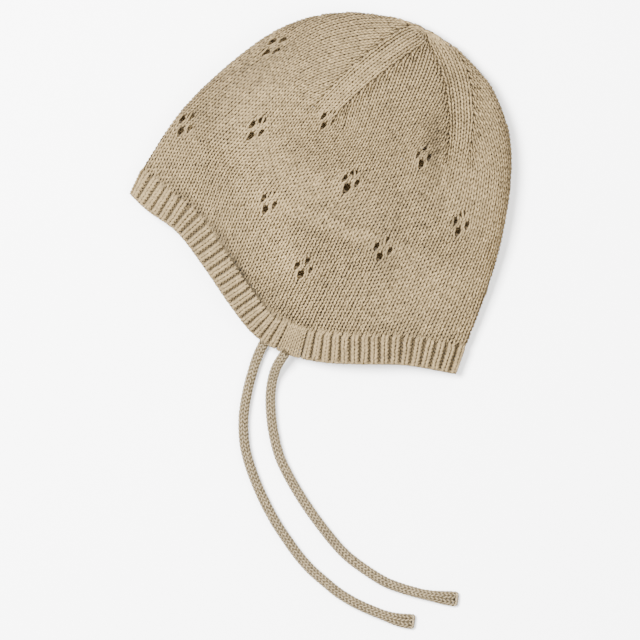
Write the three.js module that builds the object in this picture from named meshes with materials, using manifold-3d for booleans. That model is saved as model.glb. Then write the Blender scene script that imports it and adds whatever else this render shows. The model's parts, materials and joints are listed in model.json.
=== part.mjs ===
// A knitted baby bonnet with two chin ties, lying on its side as it is laid down after wearing:
// the springy upper half arches over the lower half, which rests flat, and both halves are open
// along the ribbed edge. +Z is up, +X runs from the forehead to the back of the head, and the
// origin is on the surface it rests on, under the middle of the bonnet. Millimetres.
import * as THREE from 'three';
import { mergeVertices } from 'three/addons/utils/BufferGeometryUtils.js';
import Module from 'manifold-3d';

// Driving dimensions of the bonnet as it lies.
const CAP_DEPTH = 181;
const CAP_HEIGHT = 171.5;
const PUFF_HEIGHT = 34;
const CROWN_WALL = 2.4;
const FOLD_ROLL = 10;

// Ribbed bands and the smooth tabs over the ears.
const BAND_WIDTH = 12.7;
const BAND_WALL = 3.2;
const RIB_PITCH = 4.5;
const RIB_DEPTH = 0.9;
const RIB_GROOVE = 0.22;
const EDGE_ROUNDING = 0.9;
const TAB_WIDTH = 11.8;
const TAB_WALL = 3.0;
const FOREHEAD_LEAN = THREE.MathUtils.degToRad(65);
const NAPE_LEAN = THREE.MathUtils.degToRad(70);
const FLAP_DROOP = 5;
const FLAP_SPREAD = 0.12;

// Chin ties.
const TIE_DIAMETER = 5.4;
const TIE_SIDES = 10;
const TIE_STEPS = 28;

// The knitting: wales run from the band to the apex, courses go round the head.
const WALES = 120;
const COURSES = 76;
const FRONT_FOLD_WALE = -33;
const BACK_FOLD_WALE = 29;
const BACK_STRETCH = 0.06;
const DECREASE_START = 42;
const GORE_LINES = [-12, 16, 48, 78];
const APEX_SHARE = 0.1;
const RIDGE_WALES = 2;
const RIDGE_HEIGHT = 0.6;
const GROOVE_DEPTH = 0.35;

// Openwork flowers: four eyelets each, on a staggered chart of wales and courses.
const EYELET_WIDTH = 2.3;
const EYELET_LENGTH = 2.7;
const PETAL_WALES = 1;
const PETAL_COURSES = 2;
const FLOWER_WALES = 10;
const FLOWER_COURSES = 12;
const FLOWER_START = 6;
const FLOWER_ROWS = 4;

// The lowest full course, and the courses that lie between it and the seam: few at the folds,
// more in the flaps over the ears.
const FULL_COURSE = 18;
const SIDE_COURSES = 15;
const FLAP_COURSES = 14.8;
const FLAP_MIDDLE = 0.58;
const FLAP_WIDTH = 0.17;

const PIECE_GAP = 0.3;

// A table with named columns: one object for each row of numbers.
function tableOf(columns, rows) {
  return rows.map((row) => Object.fromEntries(columns.map((column, i) => [column, row[i]])));
}

// The ribbed edge of the upper half, from the forehead fold to the nape fold. at is the share of
// the way along it; x and y are shares of the depth and the height, from the middle; tuck is how
// far the lower half's edge lies inside it, as a share of the depth.
const BRIM = [
  { at: 0.0, x: -0.497, y: -0.002, tuck: 0.0 },
  { at: 0.068, x: -0.451, y: -0.048, tuck: 0.004 },
  { at: 0.161, x: -0.373, y: -0.109, tuck: 0.006 },
  { at: 0.276, x: -0.3, y: -0.21, tuck: 0.006 },
  { at: 0.381, x: -0.238, y: -0.306, tuck: 0.007 },
  { at: 0.48, x: -0.173, y: -0.391, tuck: 0.009 },
  { at: 0.565, x: -0.097, y: -0.44, tuck: 0.02 },
  { at: 0.654, x: -0.006, y: -0.465, tuck: 0.033 },
  { at: 0.758, x: 0.103, y: -0.471, tuck: 0.034 },
  { at: 0.87, x: 0.219, y: -0.473, tuck: 0.02 },
  { at: 1.0, x: 0.355, y: -0.497, tuck: 0.0 },
];

// Middles of the ear tabs as shares of the way along the edge, and how far towards the forehead
// from there each tie hangs.
const NEAR_EAR = 0.587;
const FAR_EAR = 0.532;
const TIE_SHIFT = 0.009;

// Sections along the courses, from the lowest full course to the apex. at is the share of the
// courses; front and back are where the section meets the two folds, in shares of depth and
// height; sag is how far its middle hangs towards the ears, in shares of the depth, and skew how
// much more of that is near the front; brim is how much of the edge's own outline is left in it;
// top and fold are heights in shares of the puff height; drop is how fully the lower half has
// come down to the surface.
const SECTIONS = tableOf(
  ['at', 'frontX', 'frontY', 'backX', 'backY', 'sag', 'skew', 'brim', 'top', 'fold', 'drop'],
  [
    [0.2368, -0.371, 0.218, 0.441, -0.249, 0.076, 0.64, 0.06, 0.82, 0.21, 1],
    [0.3947, -0.277, 0.32, 0.475, -0.119, 0.074, 0.54, 0, 0.97, 0.23, 1],
    [0.5526, -0.138, 0.433, 0.497, 0.042, 0.106, 0.56, 0, 1, 0.235, 1],
    [0.6842, -0.03, 0.483, 0.489, 0.172, 0.106, 0.39, 0, 0.92, 0.235, 1],
    [0.8158, 0.081, 0.497, 0.445, 0.29, 0.08, 0.22, 0, 0.74, 0.235, 1],
    [0.9211, 0.17, 0.486, 0.385, 0.365, 0.04, 0.11, 0, 0.5, 0.235, 0.95],
    [0.9737, 0.225, 0.472, 0.337, 0.41, 0.02, 0, 0, 0.34, 0.235, 0.5],
    [1, 0.273, 0.453, 0.273, 0.453, 0, 0, 0, 0.235, 0.235, 0],
  ],
);
const BAND_HEIGHTS = { edgeTop: 0.47, edgeFold: 0.17, seamTop: 0.6, seamFold: 0.18 };

// Soft dents pressed into the upper half beside the decrease lines, in wales, courses and shares
// of the puff height.
const DENTS = [
  { wale: 14, course: 50, spanWales: 3.2, spanCourses: 8, depth: 0.07 },
  { wale: -8, course: 52, spanWales: 3.5, spanCourses: 9, depth: 0.03 },
];

const lerp = THREE.MathUtils.lerp;
const clamp = THREE.MathUtils.clamp;

// A smooth value from a table: a cubic through the rows, with slopes taken across each row.
function smoothRow(rows, at, key) {
  let i = 0;
  while (i < rows.length - 2 && at > rows[i + 1].at) i += 1;
  const [a, b] = [rows[i], rows[i + 1]];
  const span = b.at - a.at;
  const slope = (j) => {
    const low = rows[Math.max(j - 1, 0)];
    const high = rows[Math.min(j + 1, rows.length - 1)];
    return (high[key] - low[key]) / (high.at - low.at);
  };
  const t = (at - a.at) / span;
  const [t2, t3] = [t * t, t * t * t];
  return (
    (2 * t3 - 3 * t2 + 1) * a[key] +
    (t3 - 2 * t2 + t) * span * slope(i) +
    (3 * t2 - 2 * t3) * b[key] +
    (t3 - t2) * span * slope(i + 1)
  );
}

// The knitted edge in plan, with the direction that runs from it into the bonnet.
function edgePoint(at, far) {
  const place = (s) =>
    new THREE.Vector2(smoothRow(BRIM, s, 'x') * CAP_DEPTH, smoothRow(BRIM, s, 'y') * CAP_HEIGHT);
  const step = 0.01;
  const tangent = place(Math.min(at + step, 1)).sub(place(Math.max(at - step, 0)));
  const inward = new THREE.Vector2(-tangent.y, tangent.x).normalize();
  const reach = 0.07;
  const forehead = new THREE.Vector2(Math.cos(FOREHEAD_LEAN), Math.sin(FOREHEAD_LEAN));
  const nape = new THREE.Vector2(Math.cos(NAPE_LEAN), Math.sin(NAPE_LEAN));
  inward.lerp(forehead, Math.exp(-at / reach)).lerp(nape, Math.exp((at - 1) / reach)).normalize();
  const point = place(at);
  if (far) point.addScaledVector(inward, smoothRow(BRIM, at, 'tuck') * CAP_DEPTH);
  return { point, inward };
}

function seamPoint(at, far) {
  const { point, inward } = edgePoint(at, far);
  return point.addScaledVector(inward, BAND_WIDTH);
}

const SEAM_FRONT = seamPoint(0, false);
const SEAM_BACK = seamPoint(1, false);
const ROWS = [
  {
    at: 0,
    frontX: SEAM_FRONT.x / CAP_DEPTH,
    frontY: SEAM_FRONT.y / CAP_HEIGHT,
    backX: SEAM_BACK.x / CAP_DEPTH,
    backY: SEAM_BACK.y / CAP_HEIGHT,
    sag: 0,
    skew: 0,
    brim: 1,
    top: BAND_HEIGHTS.seamTop,
    fold: BAND_HEIGHTS.seamFold,
    drop: 1,
  },
  ...SECTIONS,
];

// One course of the bonnet. level is -1 at the knitted edge, 0 at the seam and 1 at the apex.
// place(across, far) is the outer face at a share of the way across from front fold to back fold.
function course(level) {
  const row = {};
  for (const key of Object.keys(ROWS[0])) row[key] = smoothRow(ROWS, Math.max(level, 0), key);
  const inBand = Math.min(level, 0) + 1;
  const top = level < 0 ? lerp(BAND_HEIGHTS.edgeTop, BAND_HEIGHTS.seamTop, inBand) : row.top;
  const fold = level < 0 ? lerp(BAND_HEIGHTS.edgeFold, BAND_HEIGHTS.seamFold, inBand) : row.fold;
  const droop = FLAP_DROOP * (level < 0 ? lerp(1, 0.6, inBand) : 0.6 * row.brim);
  const front = new THREE.Vector2(row.frontX * CAP_DEPTH, row.frontY * CAP_HEIGHT);
  const back = new THREE.Vector2(row.backX * CAP_DEPTH, row.backY * CAP_HEIGHT);
  const width = front.distanceTo(back);
  const down = new THREE.Vector2(back.y - front.y, front.x - back.x).normalize();
  const roll = Math.max(Math.min(FOLD_ROLL, width / 2), 1e-6);

  function plan(across, far) {
    if (level < 0) return edgePoint(across, far).point.lerp(seamPoint(across, far), inBand);
    const point = front.clone().lerp(back, across);
    const hang = 4 * across * (1 - across) * (1 + row.skew * (1 - 2 * across));
    point.addScaledVector(down, row.sag * CAP_DEPTH * hang);
    if (row.brim > 0) {
      const own = seamPoint(across, far).sub(SEAM_FRONT.clone().lerp(SEAM_BACK, across));
      point.addScaledVector(own, row.brim);
    }
    return point;
  }

  function place(across, far) {
    const { x, y } = plan(across, far);
    const arch = 2 * Math.sqrt(Math.max(across * (1 - across), 0));
    if (!far) {
      const sunk = droop * Math.exp(-(((across - NEAR_EAR) / FLAP_SPREAD) ** 2));
      return new THREE.Vector3(x, y, PUFF_HEIGHT * (fold + (top - fold) * arch) - sunk);
    }
    const edge = clamp(1 - (Math.min(across, 1 - across) * width) / roll, 0, 1);
    const drop = clamp(row.drop, 0, 1) * Math.sqrt(1 - edge * edge);
    return new THREE.Vector3(x, y, PUFF_HEIGHT * fold * (1 - drop));
  }
  return { place };
}

// A course with its stitches spaced evenly: turns a share of the way round one half into a share
// across, by measuring the half's own length in small steps.
const measured = new Map();
function evenCourse(level) {
  const key = level.toFixed(5);
  if (measured.has(key)) return measured.get(key);
  const made = course(level);
  const steps = 96;
  const halves = [false, true].map((far) => {
    const shares = [];
    const lengths = [0];
    let before = null;
    for (let i = 0; i <= steps; i += 1) {
      const share = (1 - Math.cos((Math.PI * i) / steps)) / 2;
      const point = made.place(share, far);
      if (before) lengths.push(lengths[i - 1] + point.distanceTo(before));
      shares.push(share);
      before = point;
    }
    return { shares, lengths };
  });
  const across = (share, far) => {
    const { shares, lengths } = halves[far ? 1 : 0];
    const even = clamp(share, 0, 1);
    const want = (even - BACK_STRETCH * even * (1 - even)) * lengths[steps];
    let i = 1;
    while (i < steps && lengths[i] < want) i += 1;
    const part = (want - lengths[i - 1]) / Math.max(lengths[i] - lengths[i - 1], 1e-9);
    return lerp(shares[i - 1], shares[i], part);
  };
  const entry = { ...made, across };
  measured.set(key, entry);
  return entry;
}

// The outer face at a place on the loop: turn runs from 0 at the front fold over the upper half
// to 1 at the back fold, and under the lower half to 2, which is the front fold again.
function facePoint(turn, level) {
  const round = ((turn % 2) + 2) % 2;
  const far = round > 1;
  const { across, place } = evenCourse(level);
  const share = far ? 2 - round : round;
  const point = place(across(share, far), far);
  if (!far) {
    const wale = lerp(FRONT_FOLD_WALE, BACK_FOLD_WALE, round);
    for (const dent of DENTS) {
      const offWales = (wale - dent.wale) / dent.spanWales;
      const offCourses = (level * COURSES - dent.course) / dent.spanCourses;
      point.z -= PUFF_HEIGHT * dent.depth * Math.exp(-(offWales ** 2) - offCourses ** 2);
    }
  }
  return point;
}

// The same place sunk by depth below the outer face, with the outward normal there.
function wallPoint(turn, level, depth) {
  const [dTurn, dLevel] = [0.004, 0.004];
  const high = Math.min(level + dLevel, 0.999);
  const along = facePoint(turn + dTurn, level).sub(facePoint(turn - dTurn, level));
  const up = facePoint(turn, high).sub(facePoint(turn, Math.max(high - 2 * dLevel, -1)));
  const normal = along.cross(up).normalize();
  return { point: facePoint(turn, level).addScaledVector(normal, -depth), normal };
}

// Where a wale lies on the loop: the upper half holds the wales from the front fold to the back
// fold, and the lower half the rest.
function turnOf(wale) {
  const nearWales = BACK_FOLD_WALE - FRONT_FOLD_WALE;
  const round = (((wale - FRONT_FOLD_WALE) % WALES) + WALES) % WALES;
  return round <= nearWales ? round / nearWales : 1 + (round - nearWales) / (WALES - nearWales);
}

// The share of its full width that a gore still has at a course: it narrows above the start of
// the decreases.
function goreShare(row) {
  return lerp(1, APEX_SHARE, clamp((row - DECREASE_START) / (COURSES - DECREASE_START), 0, 1));
}

// A closed solid from two grids of points, an outer and an inner one, joined along their borders.
function closedSheet(outer, inner, { ring = false, poles = null } = {}) {
  const [rows, columns] = [outer.length, outer[0].length];
  const positions = [];
  const push = (point) => positions.push(point.x, point.y, point.z);
  outer.flat().forEach(push);
  inner.flat().forEach(push);
  if (poles) poles.forEach(push);
  const index = [];
  const id = (face, i, j) => face * rows * columns + i * columns + (j % columns);
  const quad = (a, b, c, d) => index.push(a, b, c, a, c, d);
  const across = ring ? columns : columns - 1;
  for (let i = 0; i < rows - 1; i += 1) {
    for (let j = 0; j < across; j += 1) {
      quad(id(0, i, j), id(0, i, j + 1), id(0, i + 1, j + 1), id(0, i + 1, j));
      quad(id(1, i, j), id(1, i + 1, j), id(1, i + 1, j + 1), id(1, i, j + 1));
    }
  }
  for (let j = 0; j < across; j += 1) {
    quad(id(0, 0, j), id(1, 0, j), id(1, 0, j + 1), id(0, 0, j + 1));
    const last = rows - 1;
    if (poles) {
      const [outerPole, innerPole] = [2 * rows * columns, 2 * rows * columns + 1];
      index.push(id(0, last, j), id(0, last, j + 1), outerPole);
      index.push(id(1, last, j), innerPole, id(1, last, j + 1));
    } else {
      quad(id(0, last, j), id(0, last, j + 1), id(1, last, j + 1), id(1, last, j));
    }
  }
  if (!ring) {
    const end = columns - 1;
    for (let i = 0; i < rows - 1; i += 1) {
      quad(id(0, i, 0), id(0, i + 1, 0), id(1, i + 1, 0), id(1, i, 0));
      quad(id(0, i, end), id(1, i, end), id(1, i + 1, end), id(0, i + 1, end));
    }
  }
  const geometry = new THREE.BufferGeometry();
  geometry.setAttribute('position', new THREE.Float32BufferAttribute(positions, 3));
  geometry.setIndex(index);
  return geometry;
}

const wasm = await Module();
wasm.setup();

function toSolid(geometry) {
  const bare = geometry.clone();
  bare.deleteAttribute('normal');
  bare.deleteAttribute('uv');
  const merged = mergeVertices(bare, 1e-4);
  return new wasm.Manifold(
    new wasm.Mesh({
      numProp: 3,
      vertProperties: merged.attributes.position.array,
      triVerts: new Uint32Array(merged.index.array),
    }),
  );
}

function toGeometry(solid) {
  const mesh = solid.getMesh();
  const geometry = new THREE.BufferGeometry();
  geometry.setAttribute('position', new THREE.Float32BufferAttribute(mesh.vertProperties, 3));
  geometry.setIndex(new THREE.Uint32BufferAttribute(mesh.triVerts, 1));
  return geometry;
}

// Relief of the outer face, from the wales left to the nearest decrease line: a raised ridge of
// plain wales on each side of the line, with a groove where the gore's own wales run into it.
// Under the lower half the ridge is pressed flat.
function ridgeRelief({ turn, fromLine }, row) {
  const rise = clamp((row - DECREASE_START + 2) / 6, 0, 1);
  if (fromLine > RIDGE_WALES + 0.5) return 0;
  if (fromLine > RIDGE_WALES - 0.5) return -GROOVE_DEPTH * rise;
  return turn > 1 ? 0 : RIDGE_HEIGHT * rise;
}

// Columns of the crown at a course: each gore's line, half a ridge, and even steps between.
function crownColumns(row) {
  const inside = 12;
  const columns = [];
  GORE_LINES.forEach((line, gore) => {
    const next = gore + 1 < GORE_LINES.length ? GORE_LINES[gore + 1] : GORE_LINES[0] + WALES;
    const left = (next - line) * goreShare(row);
    const ridge = Math.min(RIDGE_WALES, left / 4);
    const places = [0, ridge / 2];
    for (let k = 0; k <= inside; k += 1) places.push(lerp(ridge, left - ridge, k / inside));
    places.push(left - ridge / 2);
    for (const place of places) {
      const turn = turnOf(lerp(line, next, place / left));
      columns.push({ turn, fromLine: Math.min(place, left - place) });
    }
  });
  return columns;
}

// The four eyelets of each flower, as places on the knitted chart.
function eyelets() {
  const found = [];
  for (let column = 0; column < WALES / FLOWER_WALES; column += 1) {
    for (let row = 0; row < FLOWER_ROWS; row += 1) {
      const fromEar = Math.min(column % 6, 6 - (column % 6));
      const skip = (column + row) % 2 === 1 || (row === 0 && fromEar > 0);
      if (skip) continue;
      const wale = column * FLOWER_WALES;
      const middle = FLOWER_START + row * FLOWER_COURSES;
      for (const [across, along] of [[0, -1], [-1, 0], [1, 0], [0, 1]]) {
        found.push({ wale: wale + across * PETAL_WALES, row: middle + along * PETAL_COURSES });
      }
    }
  }
  return found;
}

// The level of a course at a wale: below the lowest full course it depends on how many courses
// lie between that course and the seam there.
function levelOfRow(wale, row) {
  if (row >= FULL_COURSE) return row / COURSES;
  const turn = turnOf(wale);
  const share = turn > 1 ? 2 - turn : turn;
  const flap = FLAP_COURSES * Math.exp(-(((share - FLAP_MIDDLE) / FLAP_WIDTH) ** 2));
  return (FULL_COURSE / COURSES) * (1 - (FULL_COURSE - row) / (SIDE_COURSES + flap));
}

function eyeletCutter({ wale, row }) {
  const level = levelOfRow(wale, row);
  const turn = turnOf(wale);
  const { point, normal } = wallPoint(turn, level, CROWN_WALL / 2);
  const up = facePoint(turn, level + 0.01).sub(facePoint(turn, level - 0.01));
  const side = new THREE.Vector3().crossVectors(up, normal).normalize();
  up.crossVectors(normal, side);
  const shape = new THREE.Shape([
    new THREE.Vector2(0, -EYELET_LENGTH / 2),
    new THREE.Vector2(EYELET_WIDTH / 2, 0),
    new THREE.Vector2(0, EYELET_LENGTH / 2),
    new THREE.Vector2(-EYELET_WIDTH / 2, 0),
  ]);
  const length = CROWN_WALL + 2 * RIDGE_HEIGHT + 1.6;
  const prism = new THREE.ExtrudeGeometry(shape, { depth: length, bevelEnabled: false });
  prism.translate(0, 0, -length / 2);
  prism.applyMatrix4(new THREE.Matrix4().makeBasis(side, up, normal).setPosition(point));
  return toSolid(prism);
}

function crownGeometry() {
  const start = (1.6 * PIECE_GAP) / CROWN_LENGTH;
  const ring = (k) => (k < 8 ? (k * 0.58) / 8 : 0.58 + ((k - 8) * 0.39) / 8);
  const levels = Array.from({ length: 17 }, (_, k) => Math.max(ring(k), start));
  const outer = [];
  const inner = [];
  for (const level of levels) {
    const columns = crownColumns(level * COURSES);
    outer.push(columns.map((column) =>
      wallPoint(column.turn, level, -ridgeRelief(column, level * COURSES)).point));
    inner.push(columns.map(({ turn }) => wallPoint(turn, level, CROWN_WALL).point));
  }
  const apex = facePoint(0, 1);
  const low = outer.at(-1).reduce((sum, p) => sum.add(p), new THREE.Vector3()).divideScalar(outer[0].length);
  const axis = apex.clone().sub(low).normalize();
  const poles = [apex, apex.clone().addScaledVector(axis, -CROWN_WALL)];
  let solid = toSolid(closedSheet(outer, inner, { ring: true, poles }));
  for (const eyelet of eyelets()) solid = solid.subtract(eyeletCutter(eyelet));
  return toGeometry(solid);
}

// Length of the crown's front fold from seam to apex, which turns a gap into a share of courses.
const CROWN_LENGTH = SECTIONS.reduce(
  (sum, row, i) =>
    sum +
    Math.hypot(
      (row.frontX - ROWS[i].frontX) * CAP_DEPTH,
      (row.frontY - ROWS[i].frontY) * CAP_HEIGHT,
    ),
  0,
);

// The knitted edge's length over one half, which turns widths along it into shares.
const EDGE_LENGTH = BRIM.slice(1).reduce(
  (sum, row, i) =>
    sum + Math.hypot((row.x - BRIM[i].x) * CAP_DEPTH, (row.y - BRIM[i].y) * CAP_HEIGHT),
  0,
);

// A stretch of the edge from one loop place to another, ribbed or plain. Ribs are even: each has
// a narrow groove and a broad flat crest, on both faces as in a one-and-one rib.
function edgeStretch(from, to, wall, ribbed) {
  const length = (to - from) * EDGE_LENGTH;
  const ribs = Math.max(Math.round(length / RIB_PITCH), 1);
  const stations = [];
  if (ribbed) {
    for (let k = 0; k < ribs; k += 1) {
      stations.push({ share: (k + RIB_GROOVE) / ribs, sunk: 0 });
      stations.push({ share: (k + 1 - RIB_GROOVE) / ribs, sunk: 0 });
      if (k < ribs - 1) stations.push({ share: (k + 1) / ribs, sunk: RIB_DEPTH });
    }
    stations.unshift({ share: 0, sunk: RIB_DEPTH });
    stations.push({ share: 1, sunk: RIB_DEPTH });
  } else {
    const parts = 6;
    for (let k = 0; k <= parts; k += 1) stations.push({ share: k / parts, sunk: 0 });
  }
  const seam = -PIECE_GAP / 2 / BAND_WIDTH;
  const rounding = Math.min(EDGE_ROUNDING, wall / 3);
  const levels = [
    { level: -1, sunk: rounding },
    { level: -1 + (1.6 * rounding) / BAND_WIDTH, sunk: 0 },
    { level: seam, sunk: 0 },
  ];
  const face = (depthOf) =>
    levels.map(({ level, sunk }) =>
      stations.map((station) =>
        wallPoint(lerp(from, to, station.share), level, depthOf(station.sunk, sunk)).point));
  const backSunk = ribbed ? RIB_DEPTH / 2 : 0;
  return closedSheet(
    face((station, edge) => Math.max(station, edge)),
    face((station, edge) => wall - edge - (station > 0 ? 0 : backSunk)),
  );
}

function tieGeometry(ear, far, route) {
  const share = ear - TIE_SHIFT;
  const turn = far ? 2 - share : share;
  const edge = wallPoint(turn, -1, TAB_WALL / 2).point;
  const { inward } = edgePoint(evenCourse(-1).across(share, far), far);
  const radius = TIE_DIAMETER / 2;
  const start = edge.clone().add(new THREE.Vector3(-inward.x, -inward.y, 0).multiplyScalar(PIECE_GAP * 1.5));
  start.z = Math.max(start.z, radius);
  const points = route.map(([x, y, rise]) => new THREE.Vector3(start.x + x, start.y + y, radius + rise));
  const path = new THREE.CatmullRomCurve3([start, ...points], false, 'centripetal');
  const section = new THREE.Shape();
  for (let k = 0; k < TIE_SIDES; k += 1) {
    const angle = ((k + 0.5) / TIE_SIDES) * 2 * Math.PI;
    const place = [radius * Math.cos(angle), radius * Math.sin(angle)];
    if (k === 0) section.moveTo(...place);
    else section.lineTo(...place);
  }
  return new THREE.ExtrudeGeometry(section, { steps: TIE_STEPS, bevelEnabled: false, extrudePath: path });
}

// Routes of the ties on the surface, as steps from where each leaves its ear tab: x, y and the
// rise of the cord's middle above where it lies.
const NEAR_ROUTE = [
  [-3, -4.7, 4.3], [-5.1, -10.4, 1.3], [-6.3, -18.8, 0], [-6.1, -27.3, 0], [-4.9, -36.7, 0],
  [-2.3, -47, 0], [1.5, -55.5, 0], [8, -66.8, 0], [15.8, -78.1, 0], [24.7, -89.3, 0],
  [30.4, -95, 0], [37.9, -100.6, 0], [47, -106.3, 0], [54.6, -109.3, 0], [64.4, -112.1, 0],
  [73.4, -113.8, 0], [81.4, -114.7, 0],
];
const FAR_ROUTE = [
  [-3, -6.1, 0], [-5.1, -11.8, 0], [-8.2, -23, 0], [-10.1, -34.3, 0], [-10.3, -42.3, 0],
  [-9.4, -51.2, 0], [-6.1, -62.5, 0], [-1.4, -73.8, 0], [4.5, -85.1, 0], [12, -96.4, 0],
  [16.2, -102, 0], [21.2, -107.6, 0], [27.1, -112.8, 0], [34.6, -118.9, 0], [43.5, -124.1, 0],
  [55.3, -129.1, 0], [62.8, -131.4, 0], [69.8, -132.3, 0],
];

const yarn = (color) => new THREE.MeshStandardMaterial({ color, roughness: 0.95, metalness: 0 });
const bonnet = new THREE.Group();

function add(name, geometry, color) {
  geometry.computeVertexNormals();
  const mesh = new THREE.Mesh(geometry, yarn(color));
  mesh.name = name;
  bonnet.add(mesh);
}

const halfTab = TAB_WIDTH / 2 / EDGE_LENGTH;
const halfGap = PIECE_GAP / 2 / EDGE_LENGTH;
const nearTab = [NEAR_EAR - halfTab, NEAR_EAR + halfTab];
const farTab = [2 - FAR_EAR - halfTab, 2 - FAR_EAR + halfTab];
const BEIGE = 0xb8a78c;
add('crown', crownGeometry(), BEIGE);
add('front_band', edgeStretch(farTab[1] - 2 + halfGap, nearTab[0] - halfGap, BAND_WALL, true), BEIGE);
add('neck_band', edgeStretch(nearTab[1] + halfGap, farTab[0] - halfGap, BAND_WALL, true), BEIGE);
add('ear_tab_near', edgeStretch(nearTab[0] + halfGap, nearTab[1] - halfGap, TAB_WALL, false), BEIGE);
add('ear_tab_far', edgeStretch(farTab[0] + halfGap, farTab[1] - halfGap, TAB_WALL, false), BEIGE);
add('tie_near', tieGeometry(NEAR_EAR, false, NEAR_ROUTE), BEIGE);
add('tie_far', tieGeometry(FAR_EAR, true, FAR_ROUTE), BEIGE);

export default bonnet;
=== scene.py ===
"""A knitted baby bonnet with two chin ties, built stitch by stitch on the part's own shape.

The bonnet lies on its side. Every course of its knitting is one yarn, a round tube that follows
the knitted loops over the outer face, which the Cap class works out from the same sections as the
part. Lengths are in millimetres here and are turned into metres when a mesh is made. The sidebar's
sizes and the ties' routes are in metres, as Blender wants them.
"""

import json
import math

import bpy
import numpy as np
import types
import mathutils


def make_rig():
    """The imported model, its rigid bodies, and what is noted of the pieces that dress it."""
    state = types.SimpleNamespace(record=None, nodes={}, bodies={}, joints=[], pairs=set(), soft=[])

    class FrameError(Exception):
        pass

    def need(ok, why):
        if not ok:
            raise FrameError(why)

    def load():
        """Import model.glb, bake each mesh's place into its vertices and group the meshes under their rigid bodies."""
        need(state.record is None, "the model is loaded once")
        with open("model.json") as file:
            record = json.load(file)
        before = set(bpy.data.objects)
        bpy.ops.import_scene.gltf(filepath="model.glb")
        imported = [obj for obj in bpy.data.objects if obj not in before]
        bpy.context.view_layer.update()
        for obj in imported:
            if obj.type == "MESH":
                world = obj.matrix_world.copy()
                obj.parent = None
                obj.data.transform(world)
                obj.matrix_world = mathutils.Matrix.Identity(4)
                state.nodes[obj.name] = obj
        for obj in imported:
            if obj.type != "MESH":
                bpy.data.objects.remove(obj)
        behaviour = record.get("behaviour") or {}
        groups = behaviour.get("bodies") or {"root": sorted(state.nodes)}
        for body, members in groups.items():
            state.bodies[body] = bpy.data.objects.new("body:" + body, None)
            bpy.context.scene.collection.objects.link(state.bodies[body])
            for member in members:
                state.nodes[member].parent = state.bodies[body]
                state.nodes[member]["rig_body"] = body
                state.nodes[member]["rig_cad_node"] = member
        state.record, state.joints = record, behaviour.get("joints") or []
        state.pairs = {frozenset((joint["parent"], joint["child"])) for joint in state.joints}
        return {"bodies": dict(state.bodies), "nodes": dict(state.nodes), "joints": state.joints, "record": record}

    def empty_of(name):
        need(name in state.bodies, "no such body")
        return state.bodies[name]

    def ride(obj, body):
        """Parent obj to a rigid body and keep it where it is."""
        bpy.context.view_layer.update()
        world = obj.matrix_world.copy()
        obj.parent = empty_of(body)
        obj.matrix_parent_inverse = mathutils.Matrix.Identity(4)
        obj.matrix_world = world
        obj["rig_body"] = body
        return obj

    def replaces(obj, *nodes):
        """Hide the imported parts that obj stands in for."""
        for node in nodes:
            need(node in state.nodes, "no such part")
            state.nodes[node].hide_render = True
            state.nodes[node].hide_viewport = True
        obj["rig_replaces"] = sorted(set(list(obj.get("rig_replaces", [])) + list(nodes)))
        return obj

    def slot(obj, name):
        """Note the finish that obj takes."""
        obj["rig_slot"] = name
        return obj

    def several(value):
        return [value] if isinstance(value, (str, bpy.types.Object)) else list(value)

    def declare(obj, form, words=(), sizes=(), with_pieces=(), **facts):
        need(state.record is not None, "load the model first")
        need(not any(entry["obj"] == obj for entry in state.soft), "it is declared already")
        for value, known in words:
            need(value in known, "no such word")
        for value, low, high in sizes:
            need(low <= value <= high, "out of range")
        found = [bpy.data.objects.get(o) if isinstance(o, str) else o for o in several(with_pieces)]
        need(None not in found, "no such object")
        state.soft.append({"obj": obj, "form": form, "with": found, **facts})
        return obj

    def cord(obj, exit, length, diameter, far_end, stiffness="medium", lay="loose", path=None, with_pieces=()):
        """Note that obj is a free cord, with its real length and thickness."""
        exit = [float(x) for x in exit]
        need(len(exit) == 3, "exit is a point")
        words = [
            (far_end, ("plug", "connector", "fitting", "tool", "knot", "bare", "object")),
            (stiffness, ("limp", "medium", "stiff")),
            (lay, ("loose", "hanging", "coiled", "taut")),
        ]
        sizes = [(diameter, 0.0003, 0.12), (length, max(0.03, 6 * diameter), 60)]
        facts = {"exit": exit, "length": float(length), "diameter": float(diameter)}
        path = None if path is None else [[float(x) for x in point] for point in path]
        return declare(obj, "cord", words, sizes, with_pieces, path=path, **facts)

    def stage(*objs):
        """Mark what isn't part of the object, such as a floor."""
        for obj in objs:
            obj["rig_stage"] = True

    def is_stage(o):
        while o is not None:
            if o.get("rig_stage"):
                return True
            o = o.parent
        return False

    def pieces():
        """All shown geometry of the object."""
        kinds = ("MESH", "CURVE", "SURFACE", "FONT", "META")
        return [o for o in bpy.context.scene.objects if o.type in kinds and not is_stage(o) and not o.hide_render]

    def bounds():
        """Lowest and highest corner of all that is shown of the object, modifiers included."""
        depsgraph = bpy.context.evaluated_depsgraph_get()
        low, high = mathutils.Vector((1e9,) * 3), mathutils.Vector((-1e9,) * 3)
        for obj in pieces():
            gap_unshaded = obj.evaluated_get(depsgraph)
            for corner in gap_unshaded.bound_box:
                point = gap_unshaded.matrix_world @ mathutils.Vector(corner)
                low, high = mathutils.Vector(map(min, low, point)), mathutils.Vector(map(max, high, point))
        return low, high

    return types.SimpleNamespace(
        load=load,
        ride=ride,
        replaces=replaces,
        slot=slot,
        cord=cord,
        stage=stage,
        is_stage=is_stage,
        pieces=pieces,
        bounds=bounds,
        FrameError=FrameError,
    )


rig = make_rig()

bl_info = {
    "name": "Knitted Baby Bonnet",
    "version": (1, 0, 0),
    "blender": (4, 5, 0),
    "location": "3D View > Sidebar > Bonnet",
    "description": "Knits a baby bonnet with ribbed edges, openwork flowers and chin ties",
    "category": "Object",
}

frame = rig.load()
CAD_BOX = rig.bounds()

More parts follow.
